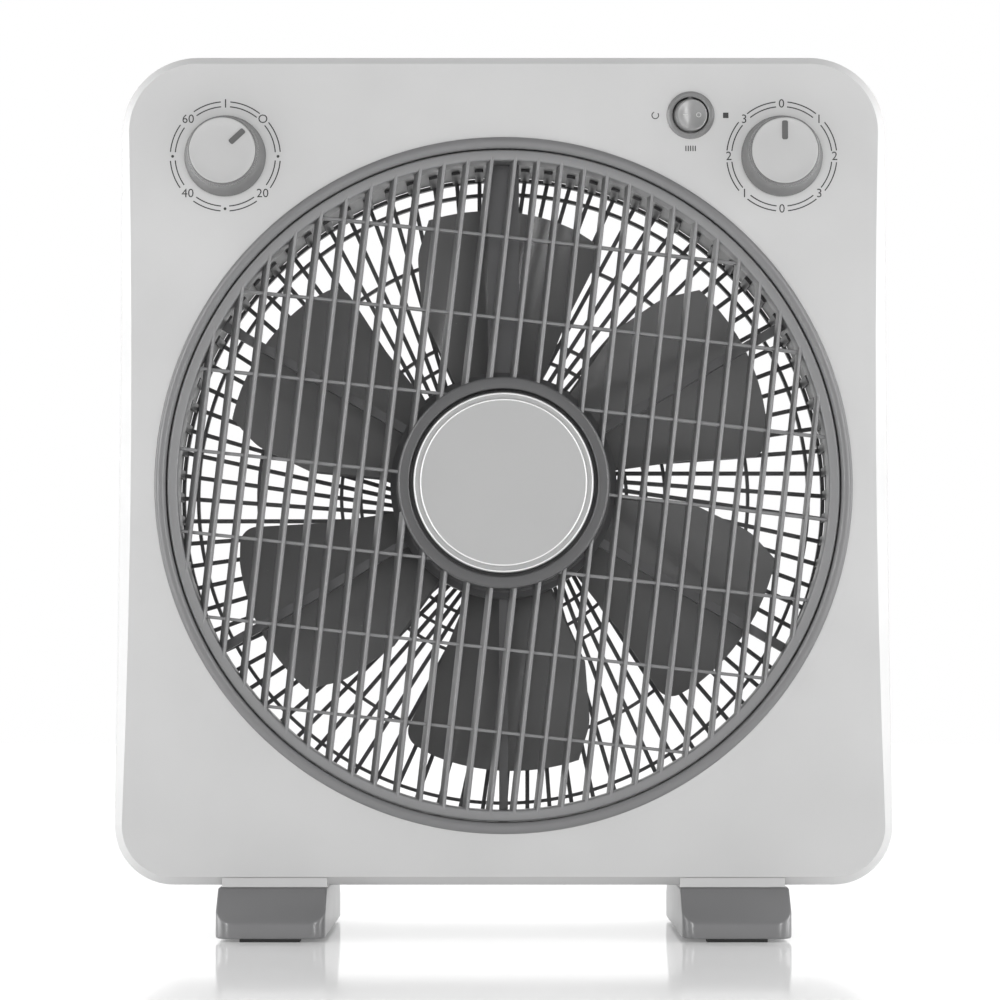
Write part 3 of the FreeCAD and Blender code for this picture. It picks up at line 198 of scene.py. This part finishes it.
# All screws, the shafts and the drive pin are steel. Zinc plating leaves a soft bright skin with
# fine drawn lines, slightly blotched by handling.
def plain_metal(name, colour, roughness, grit, stretch, metallic=1.0):
    """Metal with fine lines left by drawing, pressing or winding, drawn out along one axis."""
    material, tree = new_material(name)
    place = add_node(tree, "TexCoord").outputs["Object"]
    along = add_node(tree, "Mapping", {"Scale": stretch}, {"Vector": place})
    lines = add_node(tree, "TexNoise", {"Scale": 1 / (grit * mm), "Detail": 4.0, "Roughness": 0.65},
                     {"Vector": along.outputs["Vector"]})
    blotch = add_node(tree, "TexNoise", {"Scale": 1 / (9 * mm), "Detail": 4.0}, {"Vector": place})
    base = linear(colour)
    shade = add_node(tree, "ValToRGB", feeds={"Fac": blotch.outputs["Fac"]})
    shade.color_ramp.elements[0].position = 0.3
    shade.color_ramp.elements[0].color = [c * 0.8 for c in base[:3]] + [1.0]
    shade.color_ramp.elements[1].position = 0.7
    shade.color_ramp.elements[1].color = base
    gloss = add_node(tree, "MapRange", {"To Min": roughness * 0.75, "To Max": roughness * 1.3},
                     {"Value": lines.outputs["Fac"]})
    scratch = add_node(tree, "Bump", {"Strength": 0.3, "Distance": 0.02 * mm},
                       {"Height": lines.outputs["Fac"]})
    surface = add_node(tree, "BsdfPrincipled", {"Metallic": metallic},
                       {"Base Color": shade.outputs["Color"], "Roughness": gloss.outputs["Result"],
                        "Normal": scratch.outputs["Normal"]})
    add_node(tree, "OutputMaterial", feeds={"Surface": surface.outputs["BSDF"]})
    return material


zinc_steel = plain_metal("drawn_zinc_plated_steel", "#b4b6b8", 0.30, 0.6, (1.0, 0.2, 1.0))
dress(zinc_steel, "grille_screw", "grille_motor_shaft", "grille_motor_screws", "spider_screws",
      "motor_shaft", "drive_pin", "motor_through_screws", "motor_mount_screws", "rear_grille_screws",
      "housing_screws", "timer_shaft", "speed_shaft", "switch_screws", "foot_screws",
      "capacitor_screw", "cord_clamp_screws", "terminal_block_screw")


# The main motor: a stack of punched electrical steel with coils of varnished copper wire through
# it, closed by two pressed steel bells. The rotor turns in oil-filled bronze bushes. The stack
# shows its sheets as fine lines, and the coils show their turns.
def banded_metal(name, colour, dark, roughness, pitch, direction):
    """Metal made of many thin layers or turns, which show as lines a set pitch apart."""
    material, tree = new_material(name)
    place = add_node(tree, "TexCoord").outputs["Object"]
    bands = add_node(tree, "TexWave", {"Scale": 1 / (pitch * mm) / math.tau * 2, "Distortion": 0.6,
                                       "Detail": 2.0, "Detail Scale": 3.0},
                     {"Vector": place}, wave_type="BANDS", bands_direction=direction)
    shade = add_node(tree, "ValToRGB", feeds={"Fac": bands.outputs["Fac"]})
    shade.color_ramp.elements[0].color = linear(dark)
    shade.color_ramp.elements[1].position = 0.45
    shade.color_ramp.elements[1].color = linear(colour)
    steps = add_node(tree, "Bump", {"Strength": 0.6, "Distance": 0.1 * mm},
                     {"Height": bands.outputs["Fac"]})
    gloss = add_node(tree, "MapRange", {"To Min": roughness * 1.4, "To Max": roughness},
                     {"Value": bands.outputs["Fac"]})
    surface = add_node(tree, "BsdfPrincipled", {"Metallic": 1.0},
                       {"Base Color": shade.outputs["Color"], "Roughness": gloss.outputs["Result"],
                        "Normal": steps.outputs["Normal"]})
    add_node(tree, "OutputMaterial", feeds={"Surface": surface.outputs["BSDF"]})
    return material


dress(banded_metal("punched_lamination_steel", "#7d7f83", "#3c3d40", 0.40, 1.0, "Y"),
      "motor_stator", "motor_rotor")
dress(banded_metal("varnished_copper_wire", "#b8683a", "#4e2414", 0.30, 0.8, "Y"), "motor_windings")
dress(plain_metal("pressed_steel_bell", "#8b8d90", 0.38, 1.2, (1.0, 1.0, 1.0)), "motor_front_bell",
      "motor_rear_bell", "grille_motor_can")
dress(plain_metal("sintered_bronze", "#a37a3f", 0.45, 0.5, (1.0, 1.0, 1.0)),
      "motor_front_bush", "motor_rear_bush")


# The rear guard and the carrier in front of the impeller are dark grey polypropylene, each one
# moulding. Their thin spokes read almost black against the light behind them.
guard_plastic = moulded_plastic("satin_moulded_dark_polypropylene", "#5f5f60", 0.40, mottle=0.05)
dress(guard_plastic, "rear_grille", "front_spider")


# The impeller has six broad blades round a deep hub, one moulding of dark grey polypropylene.
# The blades are smoother than the grain of the body and carry a soft sheen.
blade_plastic = moulded_plastic("semi_gloss_moulded_blade", "#737373", 0.26, grain=1.6, pit=0.02,
                                mottle=0.02)
dress(blade_plastic, "impeller")


# The trim ring round the air outlet is a rounded dark grey bead with a sleeve behind it, pressed
# into the front shell. Its convex face picks up a long soft line of light.
def bare_selection():
    if bpy.context.mode != "OBJECT":
        bpy.ops.object.mode_set(mode="OBJECT")
    bpy.ops.object.select_all(action="DESELECT")


def turned_piece(profile, centre, steps=160):
    """A round piece about the front-to-back axis: a circle is drawn out loop by loop along a
    profile of (radius, depth) in millimetres. A profile that ends where it starts is a ring."""
    bare_selection()
    radius, depth = profile[0]
    start = Vector(centre) + Vector((0, depth * mm, 0))
    bpy.ops.mesh.primitive_circle_add(vertices=steps, radius=radius * mm, location=start,
                                      rotation=(math.pi / 2, 0, 0))
    piece = bpy.context.object
    bpy.ops.object.mode_set(mode="EDIT")
    bpy.ops.mesh.select_all(action="SELECT")
    for next_radius, next_depth in profile[1:]:
        bpy.ops.mesh.extrude_region_move(
            TRANSFORM_OT_translate={"value": (0, (next_depth - depth) * mm, 0)})
        share = next_radius / radius
        bpy.ops.transform.resize(value=(share, 1, share), center_override=tuple(centre))
        radius, depth = next_radius, next_depth
    bpy.ops.mesh.select_all(action="SELECT")
    bpy.ops.mesh.remove_doubles(threshold=0.002 * mm)
    bpy.ops.mesh.fill_holes(sides=0)
    bpy.ops.mesh.normals_make_consistent(inside=False)
    bpy.ops.object.mode_set(mode="OBJECT")
    return piece


def arc_profile(middle, size, start, end, steps):
    """Corners of a rounded edge in a profile, from one angle to another in degrees."""
    turns = [math.radians(start + (end - start) * i / steps) for i in range(steps + 1)]
    return [(middle[0] + size[0] * math.cos(t), middle[1] + size[1] * math.sin(t)) for t in turns]


def finished(piece, name, material, body, slot, *replaced, angle=35):
    """Puts a piece's place into its mesh, hands it to its body and hides the CAD nodes it replaces. The
    slot is not used.
    """
    bare_selection()
    piece.select_set(True)
    bpy.context.view_layer.objects.active = piece
    bpy.ops.object.transform_apply(location=True, rotation=True, scale=True)
    bpy.ops.object.shade_smooth_by_angle(angle=math.radians(angle))
    piece.name = name
    piece.data.materials.clear()
    piece.data.materials.append(material)
    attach(piece, body)
    if replaced:
        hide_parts(*replaced)
    return piece


low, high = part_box("trim_ring")
axis_z = (low.z + high.z) / 2
air_axis = Vector((0, face_y, axis_z))
trim_outer = (high.x - low.x) / 2 / mm
trim_bead_width, trim_sleeve_wall = 5.7, 1.9
trim_inner = trim_outer - trim_bead_width
trim_back = (high.y - face_y) / mm
bead_middle = ((trim_outer + trim_inner) / 2, 0.0)
bead_size = ((trim_outer - trim_inner) / 2, (face_y - low.y) / mm)
bead = arc_profile(bead_middle, bead_size, 0, -180, 14)
profile = bead + [(trim_inner, trim_back), (trim_inner + trim_sleeve_wall, trim_back),
                  (trim_inner + trim_sleeve_wall, 0.0), bead[0]]
trim_plastic = moulded_plastic("satin_moulded_dark_trim_abs", "#777778", 0.34, mottle=0.02, sheen=0.15)
trim = turned_piece(profile, air_axis, steps=192)
finished(trim, "trim_bead", trim_plastic, "body", "grille", "trim_ring")


# The louver grille turns slowly in front of the impeller: a hoop, a hub ring, leaning slats
# with rounded front edges and a few flat tie bars behind them, moulded in dark grey ABS. The hub
# ring is given a darker grey as painted shade, for its flat front faces away from the side lamps.
# The slats are shaped flat, then drawn out to a shallow dome.
hoop_outer, hoop_inner, hoop_front, hoop_back = 171.0, 165.4, 0.5, 15.5
hub_outer, hub_inner, hub_back = 53.6, 47.6, 8.5
slat_count, slat_pitch, slat_thickness, slat_depth = 27, 11.9, 1.9, 11.0
tie_count, tie_pitch, tie_thickness, tie_sink = 7, 41.8, 1.6, 3.5
slat_shift, slat_fan = 2.0, 0.010
dome_rise, grille_turn = 9.0, math.radians(6.3)
front_round, tie_round, bar_overlap, cut_spacing = 0.8, 0.4, 2.0, 24.0


def spans(offset, inner, outer):
    """The stretches of a bar at this offset that lie between the hub and the hoop."""
    reach = math.sqrt(outer ** 2 - offset ** 2)
    if abs(offset) >= inner:
        return [(-reach, reach)]
    start = math.sqrt(inner ** 2 - offset ** 2)
    return [(-reach, -start), (start, reach)]


def pick_edges(piece, wanted):
    """Leaves a piece in edit mode with the edges selected whose two ends fit a rule."""
    if bpy.context.mode != "OBJECT":
        bpy.ops.object.mode_set(mode="OBJECT")
    bpy.context.tool_settings.mesh_select_mode = (False, True, False)
    mesh = piece.data
    for part in (mesh.vertices, mesh.edges, mesh.polygons):
        for item in part:
            item.select = False
    for edge in mesh.edges:
        edge.select = bool(wanted(*[mesh.vertices[i].co for i in edge.vertices]))
    bpy.ops.object.mode_set(mode="EDIT")


def bar(size, place, long_axis, cuts, rounding, twist=0.0):
    """One bar: a block cut across its length, its two front edges rounded, turned by its lean."""
    bare_selection()
    bpy.ops.mesh.primitive_cube_add(size=1, location=Vector(place) * mm, scale=Vector(size) * mm)
    piece = bpy.context.object
    bpy.ops.object.transform_apply(location=True, rotation=True, scale=True)
    mesh = piece.data

    def is_long(a, b):
        return abs(a[long_axis] - b[long_axis]) > 0.5 * mm and abs(a.y - b.y) < 1e-6

    front = min(v.co.y for v in mesh.vertices)
    pick_edges(piece, is_long)
    bpy.ops.mesh.subdivide(number_cuts=cuts)
    pick_edges(piece, lambda a, b: is_long(a, b) and abs(a.y - front) < 1e-6)
    bpy.ops.mesh.bevel(offset=rounding * mm, segments=3, affect="EDGES")
    bpy.ops.object.mode_set(mode="OBJECT")
    if twist:
        piece.location = Vector((place[0], front / mm, 0)) * mm
        for vertex in mesh.vertices:
            vertex.co -= piece.location
        piece.rotation_euler = (0, 0, twist)
        bpy.ops.object.transform_apply(location=True, rotation=True, scale=True)
    return piece


def joined(*pieces):
    """Makes one object of several, on the first one's origin."""
    bare_selection()
    for piece in pieces:
        piece.select_set(True)
    bpy.context.view_layer.objects.active = pieces[0]
    bpy.ops.object.join()
    return pieces[0]


grille_plastic = moulded_plastic("satin_moulded_dark_grille_abs", "#828283", 0.32, mottle=0.02, sheen=0.15)
bars = []
for index in range(slat_count):
    offset = (index - (slat_count - 1) / 2) * slat_pitch
    lean = math.atan((slat_shift - slat_fan * offset) / slat_depth)
    for start, end in spans(offset, hub_outer - bar_overlap, hoop_inner + bar_overlap):
        cuts = max(3, round((end - start) / cut_spacing))
        bars.append(bar((slat_thickness, slat_depth, end - start),
                        (offset, slat_depth / 2, (start + end) / 2), 2, cuts, front_round, lean))
for index in range(tie_count):
    height = (index - (tie_count - 1) / 2) * tie_pitch
    depth = slat_depth - 2 * tie_sink
    for start, end in spans(height, hub_outer - bar_overlap, hoop_inner + bar_overlap):
        cuts = max(3, round((end - start) / cut_spacing))
        bars.append(bar((end - start, depth, tie_thickness),
                        ((start + end) / 2, tie_sink + depth / 2, height), 0, cuts, tie_round))
bare_selection()
bpy.ops.mesh.primitive_plane_add(size=0.1 * mm, location=(0, 0, 0), rotation=(math.pi / 2, 0, 0))
peak = bpy.context.object
lattice = joined(*bars, peak)
bpy.ops.object.transform_apply(location=True, rotation=True, scale=True)
pick_edges(lattice, lambda a, b: max(a.length, b.length) < 0.2 * mm)
bpy.ops.transform.translate(value=(0, -dome_rise * mm, 0), use_proportional_edit=True,
                            proportional_edit_falloff="INVERSE_SQUARE", proportional_size=hoop_inner * mm)
bpy.ops.mesh.delete(type="VERT")
bpy.ops.object.mode_set(mode="OBJECT")
lattice.location = air_axis + Vector((0, hoop_front * mm, 0))

hoop_round = 1.2
corner, rounded = hoop_front + hoop_round, (hoop_round, hoop_round)
hoop_profile = (arc_profile((hoop_inner + hoop_round, corner), rounded, 180, 270, 4)
                + arc_profile((hoop_outer - hoop_round, corner), rounded, 270, 360, 4)
                + [(hoop_outer, hoop_back), (hoop_inner, hoop_back), (hoop_inner, corner)])
hoop = turned_piece(hoop_profile, air_axis, steps=192)
hub_front, hub_inner_round, hub_outer_round, hub_skirt = -10.0, 0.8, 1.4, 1.6
floor_front, floor_back = 2.0, 4.5
boss_radius, boss_bore, boss_front, boss_back = 8.5, 3.6, -1.0, 7.5
hub_profile = (arc_profile((hub_inner + hub_inner_round, hub_front + hub_inner_round),
                           (hub_inner_round, hub_inner_round), 180, 270, 3)
               + arc_profile((hub_outer - hub_outer_round, hub_front + hub_outer_round),
                             (hub_outer_round, hub_outer_round), 270, 360, 4)
               + [(hub_outer, hub_back), (hub_inner + hub_skirt, hub_back),
                  (hub_inner + hub_skirt, floor_back), (boss_radius, floor_back),
                  (boss_radius, boss_back), (boss_bore, boss_back), (boss_bore, boss_front),
                  (boss_radius, boss_front), (boss_radius, floor_front), (hub_inner, floor_front),
                  (hub_inner, hub_front + hub_inner_round)])
hub = turned_piece(hub_profile, air_axis, steps=128)
# Painted shade: the hub ring is the same moulding as the slats, given a darker copy of their grey.
hub_painted_shade_plastic = moulded_plastic("grille_abs_painted_darker_hub", "#535354", 0.34, mottle=0.04, sheen=0.15)
finished(hub, "louver_hub", hub_painted_shade_plastic, "turning_grille", "grille")
joined(lattice, hoop)
bpy.ops.object.transform_apply(location=True, rotation=True, scale=True)
for vertex in lattice.data.vertices:
    vertex.co -= air_axis
lattice.location = air_axis
lattice.rotation_euler = (0, grille_turn, 0)
finished(lattice, "louver_lattice", grille_plastic, "turning_grille", "grille", "louver_grille", angle=40)


# The cap over the hub is a light grey moulded disc, stepped down to a flat band near its rim. It hides the
# screw and clips into the hub. Two fine near-white rings follow the step and the rim as painted highlights.
cap_radius, cap_step = 45.6, 42.3
profile = ([(0.5, -11.9), (20.0, -11.85), (34.0, -11.75), (cap_step - 0.9, -11.6)]
           + arc_profile((cap_step - 0.7, -10.8), (0.8, 0.8), 270, 350, 5)
           + [(cap_step + 0.4, -10.1), (cap_radius - 1.0, -10.4)]
           + arc_profile((cap_radius - 0.8, -9.8), (0.8, 0.8), 255, 360, 6)
           + [(cap_radius, 1.9), (cap_radius - 2, 1.9), (cap_radius - 2, -8.6), (0.5, -9.2)])
cap_plastic = moulded_plastic("satin_moulded_light_cap_abs", "#acacac", 0.36, grain=0.7, mottle=0.015)
cap = turned_piece(profile, air_axis, steps=128)
finished(cap, "hub_cap", cap_plastic, "turning_grille", "cap", "grille_cap")
# Painted highlight: near-white rings laid over the cap's step and rim stand for the light that their
# rounded edges catch.
painted_highlight_plastic = moulded_plastic("painted_highlight_cap_ring", "#f2f2f2", 0.20, grain=0.7, pit=0.01, mottle=0.01)
highlight_ring_half_width = 0.35
highlight_rings = []
for radius, depth in ((cap_step - 0.5, -11.5), (cap_radius - 0.7, -10.55)):
    profile = arc_profile((radius, depth), (highlight_ring_half_width, highlight_ring_half_width), 0, 360, 8)[:-1]
    highlight_rings.append(turned_piece(profile + profile[:1], air_axis, steps=128))
finished(joined(*highlight_rings), "cap_painted_highlight_rings", painted_highlight_plastic, "turning_grille", "cap")


# Each dial is a mid grey knob with a flared skirt, a light grey disc set into its face, and a
# dark bar let into the disc as the pointer. It is pushed on its shaft and turns with it.
knob_base, knob_face, knob_height, knob_cap = 20.8, 17.5, 20.0, 16.7
flare_steps, flare_power = 12, 2.3
pointer_in, pointer_out, pointer_width = 5.4, 15.0, 3.0
knob_plastic = moulded_plastic("satin_moulded_mid_grey_abs", "#6f6f6f", 0.26, grain=0.8, sheen=0.2)
disc_plastic = moulded_plastic("satin_moulded_light_disc_abs", "#bababa", 0.36, grain=0.7)
pointer_plastic = moulded_plastic("inlaid_dark_grey_pointer", "#585858", 0.45)
dial_bodies = {"timer": "timer_dial", "speed": "speed_dial"}
pointer_turns = {"timer": math.radians(47), "speed": 0.0}
for dial, body in dial_bodies.items():
    low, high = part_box(dial + "_knob")
    centre = Vector(((low.x + high.x) / 2, face_y, (low.z + high.z) / 2))
    top = -knob_height + 0.2
    spread = knob_base - 0.6 - knob_face
    flare = [(knob_face + spread * (1 - i / flare_steps) ** flare_power,
              -3.0 - (knob_height - 5.4) * i / flare_steps) for i in range(flare_steps + 1)]
    profile = ([(3.05, -1.0), (5.5, -1.0), (5.5, -5.0), (knob_base - 2.6, -5.0), (knob_base - 2.6, -1.0)]
               + arc_profile((knob_base - 0.6, -1.6), (0.6, 0.6), 90, -60, 5) + flare
               + arc_profile((knob_face - 0.8, top + 0.6), (0.8, 0.8), 0, -90, 4)
               + [(knob_cap + 0.45, top - 0.2), (knob_cap + 0.4, top + 0.6), (knob_cap + 0.05, top + 1.2),
                  (3.05, top + 1.2), (3.05, -1.0)])
    skirt = turned_piece(profile, centre, steps=96)
    finished(skirt, dial + "_knob_skirt", knob_plastic, body, "knob", dial + "_knob")
    profile = ([(0.3, top - 0.55), (10.0, top - 0.5), (knob_cap - 0.9, top - 0.4)]
               + arc_profile((knob_cap - 0.5, top), (0.5, 0.5), -90, 0, 4)
               + [(knob_cap, top + 1.15), (0.3, top + 1.15)])
    disc = turned_piece(profile, centre, steps=96)
    finished(disc, dial + "_knob_disc", disc_plastic, body, "cap", dial + "_knob_cap")
    bare_selection()
    bpy.ops.mesh.primitive_cube_add(size=1, location=(0, 0, 0),
                                    scale=(pointer_width * mm, 0.9 * mm, (pointer_out - pointer_in) * mm))
    pointer = bpy.context.object
    bpy.ops.object.transform_apply(location=True, rotation=True, scale=True)
    pick_edges(pointer, lambda a, b: abs(a.y - b.y) > 0.5 * mm)
    bpy.ops.mesh.bevel(offset=0.9 * mm, segments=4, affect="EDGES")
    bpy.ops.object.mode_set(mode="OBJECT")
    for vertex in pointer.data.vertices:
        vertex.co += Vector((0, (top - 0.35) * mm, (pointer_in + pointer_out) / 2 * mm))
    pointer.location = centre
    pointer.rotation_euler = (0, pointer_turns[dial], 0)
    finished(pointer, dial + "_pointer_bar", pointer_plastic, body, "pointer", dial + "_pointer")


# The scales are printed on the front face in dark grey ink: two fine rings round each dial,
# broken at each mark by a figure, a dot or a plain sign.
ink, tree = new_material("pad_printed_grey_ink")
place = add_node(tree, "TexCoord").outputs["Object"]
wear = add_node(tree, "TexNoise", {"Scale": 1 / (0.8 * mm), "Detail": 3.0}, {"Vector": place})
tone = add_node(tree, "ValToRGB", feeds={"Fac": wear.outputs["Fac"]})
tone.color_ramp.elements[0].color = linear("#262626")
tone.color_ramp.elements[1].color = linear("#3a3a3a")
surface = add_node(tree, "BsdfPrincipled", {"Roughness": 0.5}, {"Base Color": tone.outputs["Color"]})
add_node(tree, "OutputMaterial", feeds={"Surface": surface.outputs["BSDF"]})
ink_depth = 0.06
marks = []


def printed_text(words, centre, height, turn=0.0, thickness=0.04):
    bare_selection()
    bpy.ops.object.text_add(location=(0, 0, 0))
    piece = bpy.context.object
    piece.data.body = words
    piece.data.align_x = "CENTER"
    piece.data.align_y = "CENTER"
    piece.data.size = height * 1.38 * mm
    piece.data.extrude = thickness / 2 * mm
    piece.data.resolution_u = 3
    bpy.ops.object.convert(target="MESH")
    piece.rotation_euler = (math.pi / 2, turn, 0)
    piece.location = Vector(centre) + Vector((0, -ink_depth * mm / 2, 0))
    bpy.ops.object.transform_apply(location=True, rotation=True, scale=True)
    return piece


def printed_ring(centre, radius, start, end, width=0.6):
    """A thin printed arc: a short bar spun about the dial. Angles are degrees clockwise from the top."""
    bare_selection()
    turn = math.radians(start)
    bpy.ops.mesh.primitive_plane_add(size=1, location=(0, 0, 0))
    piece = bpy.context.object
    bpy.context.tool_settings.mesh_select_mode = (True, False, False)
    bpy.ops.object.mode_set(mode="EDIT")
    bpy.ops.mesh.select_all(action="SELECT")
    bpy.ops.mesh.merge(type="CENTER")
    spot = Vector(centre) + Vector((0, -ink_depth * mm, 0))
    inner = (radius - width / 2) * mm
    first = spot + Vector((inner * math.sin(turn), 0, inner * math.cos(turn)))
    bpy.ops.transform.translate(value=first)
    out = Vector((math.sin(turn), 0, math.cos(turn))) * width * mm
    bpy.ops.mesh.extrude_region_move(TRANSFORM_OT_translate={"value": out})
    bpy.ops.mesh.select_all(action="SELECT")
    steps = max(4, round(abs(end - start) / 4))
    bpy.ops.mesh.spin(steps=steps, angle=math.radians(end - start), center=spot, axis=(0, -1, 0))
    bpy.ops.object.mode_set(mode="OBJECT")
    marks.append(piece)


def printed_dot(centre, angle, radius, size):
    turn = math.radians(angle)
    bare_selection()
    spot = Vector(centre) + Vector((radius * math.sin(turn), -ink_depth, radius * math.cos(turn))) * mm
    bpy.ops.mesh.primitive_circle_add(vertices=16, radius=size * mm, fill_type="NGON", location=spot,
                                      rotation=(math.pi / 2, 0, 0))
    marks.append(bpy.context.object)


scale_inner, scale_outer, figure_ring = 25.6, 28.1, 27.0
scales = {"timer": ["I", "O", ".", "20", ".", "40", ".", "60"],
          "speed": ["0", "1", "2", "3", "0", "1", "2", "3"]}
half_gaps = {".": 4.7, "I": 5.0, "O": 6.5, "20": 9.8, "40": 9.8, "60": 9.8}
for dial, figures in scales.items():
    low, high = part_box(dial + "_knob")
    centre = Vector(((low.x + high.x) / 2, face_y, (low.z + high.z) / 2))
    for index, figure in enumerate(figures):
        angle = index * 45
        following = figures[(index + 1) % 8]
        start = angle + half_gaps.get(figure, 6.2)
        end = angle + 45 - half_gaps.get(following, 6.2)
        for radius in (scale_inner, scale_outer):
            printed_ring(centre, radius, start, end)
        turn = math.radians(angle)
        spot = centre + Vector((figure_ring * math.sin(turn), 0, figure_ring * math.cos(turn))) * mm
        if figure == ".":
            printed_dot(centre, angle, figure_ring - 0.1, 0.75)
        else:
            marks.append(printed_text(figure, spot, 4.6))

# Three plain signs stand round the rocker: an open ring for turning, a square for still, and a
# row of bars for the grille.
low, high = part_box("rocker_switch_body")
rocker_x, rocker_z = (low.x + high.x) / 2, (low.z + high.z) / 2
sign_reach, sign_drop, sign_height, sign_bar_width = 18.0, 17.0, 2.8, 0.55
printed_ring(Vector((rocker_x - sign_reach * mm, face_y, rocker_z)), 1.7, 50, 340, width=0.5)
sign_blocks = [(sign_reach, 0, sign_height)]
sign_blocks += [(shift, -sign_drop, sign_bar_width) for shift in (-2.4, -1.2, 0, 1.2, 2.4)]
for shift, rise, width in sign_blocks:
    bare_selection()
    spot = Vector((rocker_x, face_y - ink_depth * mm, rocker_z)) + Vector((shift, 0, rise)) * mm
    bpy.ops.mesh.primitive_plane_add(size=1, location=spot, rotation=(math.pi / 2, 0, 0))
    sign = bpy.context.object
    sign.scale = (width * mm, sign_height * mm, 1)
    marks.append(sign)
finished(joined(*marks), "face_prints", ink, "body", "pointer")


# The rocker that starts the grille is a grey ABS ball with a dished face, set in a round bezel. It
# is moulded in one with its two pivot pins, and its two signs are pad printed in white.
bezel_plastic = moulded_plastic("gloss_moulded_grey_bezel", "#7f7f7f", 0.24)
dress(bezel_plastic, "rocker_switch_body")
ball_radius, pivot_depth, ball_back, pin_radius, pin_reach = 8.9, 2.0, 6.0, 1.5, 10.2
dish_rim, rim_round, rocker_tilt = 7.6, 0.35, math.radians(10)
pivot = Vector((rocker_x, face_y + pivot_depth * mm, rocker_z))
rim_angle = math.degrees(math.acos((dish_rim + rim_round) / ball_radius))
back_angle = math.degrees(math.asin(ball_back / ball_radius))
rim_depth = -ball_radius * math.sin(math.radians(rim_angle))
dish = [(0.3, 0.9), (3.0, 0.75), (5.5, 0.35), (dish_rim - 0.6, -0.1), (dish_rim, -0.15)]
profile = ([(radius, rim_depth + sink) for radius, sink in dish]
           + arc_profile((0, 0), (ball_radius, ball_radius), -rim_angle, back_angle, 14)
           + [(0.3, ball_back)])
ball = turned_piece(profile, pivot, steps=64)
bare_selection()
bpy.ops.mesh.primitive_cylinder_add(vertices=24, radius=pin_radius * mm,
                                    depth=2 * pin_reach * mm, location=pivot)
joined(ball, bpy.context.object)
bpy.ops.object.transform_apply(location=True, rotation=True, scale=True)
bpy.context.scene.cursor.location = pivot
bpy.ops.object.origin_set(type="ORIGIN_CURSOR")
ball.rotation_euler = (0, 0, rocker_tilt)
rocker_gloss = moulded_plastic("gloss_moulded_grey_rocker", "#8b8b8b", 0.30, sheen=0.3)
finished(ball, "rocker_ball", rocker_gloss, "grille_rocker", "rocker", "rocker_button", angle=30)
sign_shift, sign_sink, sign_size = 3.6, 0.62, 2.6
signs = []
for sign, shift, flat in (("I", -sign_shift, math.pi / 2), ("O", sign_shift, 0.0)):
    spot = Vector((shift, rim_depth + sign_sink, 0)) * mm
    signs.append(printed_text(sign, spot, sign_size, turn=flat, thickness=0.3))
rocker_signs = joined(*signs)
rocker_signs.location = pivot
rocker_signs.rotation_euler = (0, 0, rocker_tilt)
white_ink = moulded_plastic("pad_printed_white_ink", "#c9c9c9", 0.45)
finished(rocker_signs, "rocker_signs", white_ink, "grille_rocker", "pointer")


# The feet are dark grey ABS: a long shoe with a sloped end in front and behind, its upright
# corners well rounded, screwed up into the body and standing on black rubber pads.
foot_plastic = moulded_plastic("semi_gloss_moulded_foot_abs", "#747475", 0.30, sheen=0.2)
rubber = moulded_plastic("moulded_black_rubber", "#151515", 0.75)
dress(rubber, "rubber_pads")
foot_end, foot_slope_depth, foot_round, foot_edge_round = 8.0, 21.6, 8.5, 1.2
for name in ("left_foot", "right_foot"):
    low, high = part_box(name)
    size, middle = high - low, (low + high) / 2
    bare_selection()
    bpy.ops.mesh.primitive_cube_add(size=1, location=middle, scale=size)
    foot = bpy.context.object
    bpy.ops.object.transform_apply(location=True, rotation=True, scale=True)
    bpy.ops.object.mode_set(mode="EDIT")
    for end, facing in ((low.y, -1), (high.y, 1)):
        bpy.ops.mesh.select_all(action="SELECT")
        knee = low.z + foot_end * mm
        bpy.ops.mesh.bisect(plane_co=(0, end, knee),
                            plane_no=(0, facing * (high.z - knee), foot_slope_depth * mm),
                            use_fill=True, clear_outer=True)
    pick_edges(foot, lambda a, b: abs(a.z - b.z) > 2 * mm and abs(a.x - b.x) + abs(a.y - b.y) < 1e-6)
    bpy.ops.mesh.bevel(offset=foot_round * mm, segments=10, affect="EDGES")
    bpy.ops.object.mode_set(mode="OBJECT")
    edges = foot.modifiers.new("rounded_edges", "BEVEL")
    edges.width = foot_edge_round * mm
    edges.segments = 3
    edges.limit_method = "ANGLE"
    edges.angle_limit = math.radians(28)
    bare_selection()
    foot.select_set(True)
    bpy.context.view_layer.objects.active = foot
    bpy.ops.object.modifier_apply(modifier="rounded_edges")
    finished(foot, name + "_shoe", foot_plastic, "body", "foot", name, angle=32)
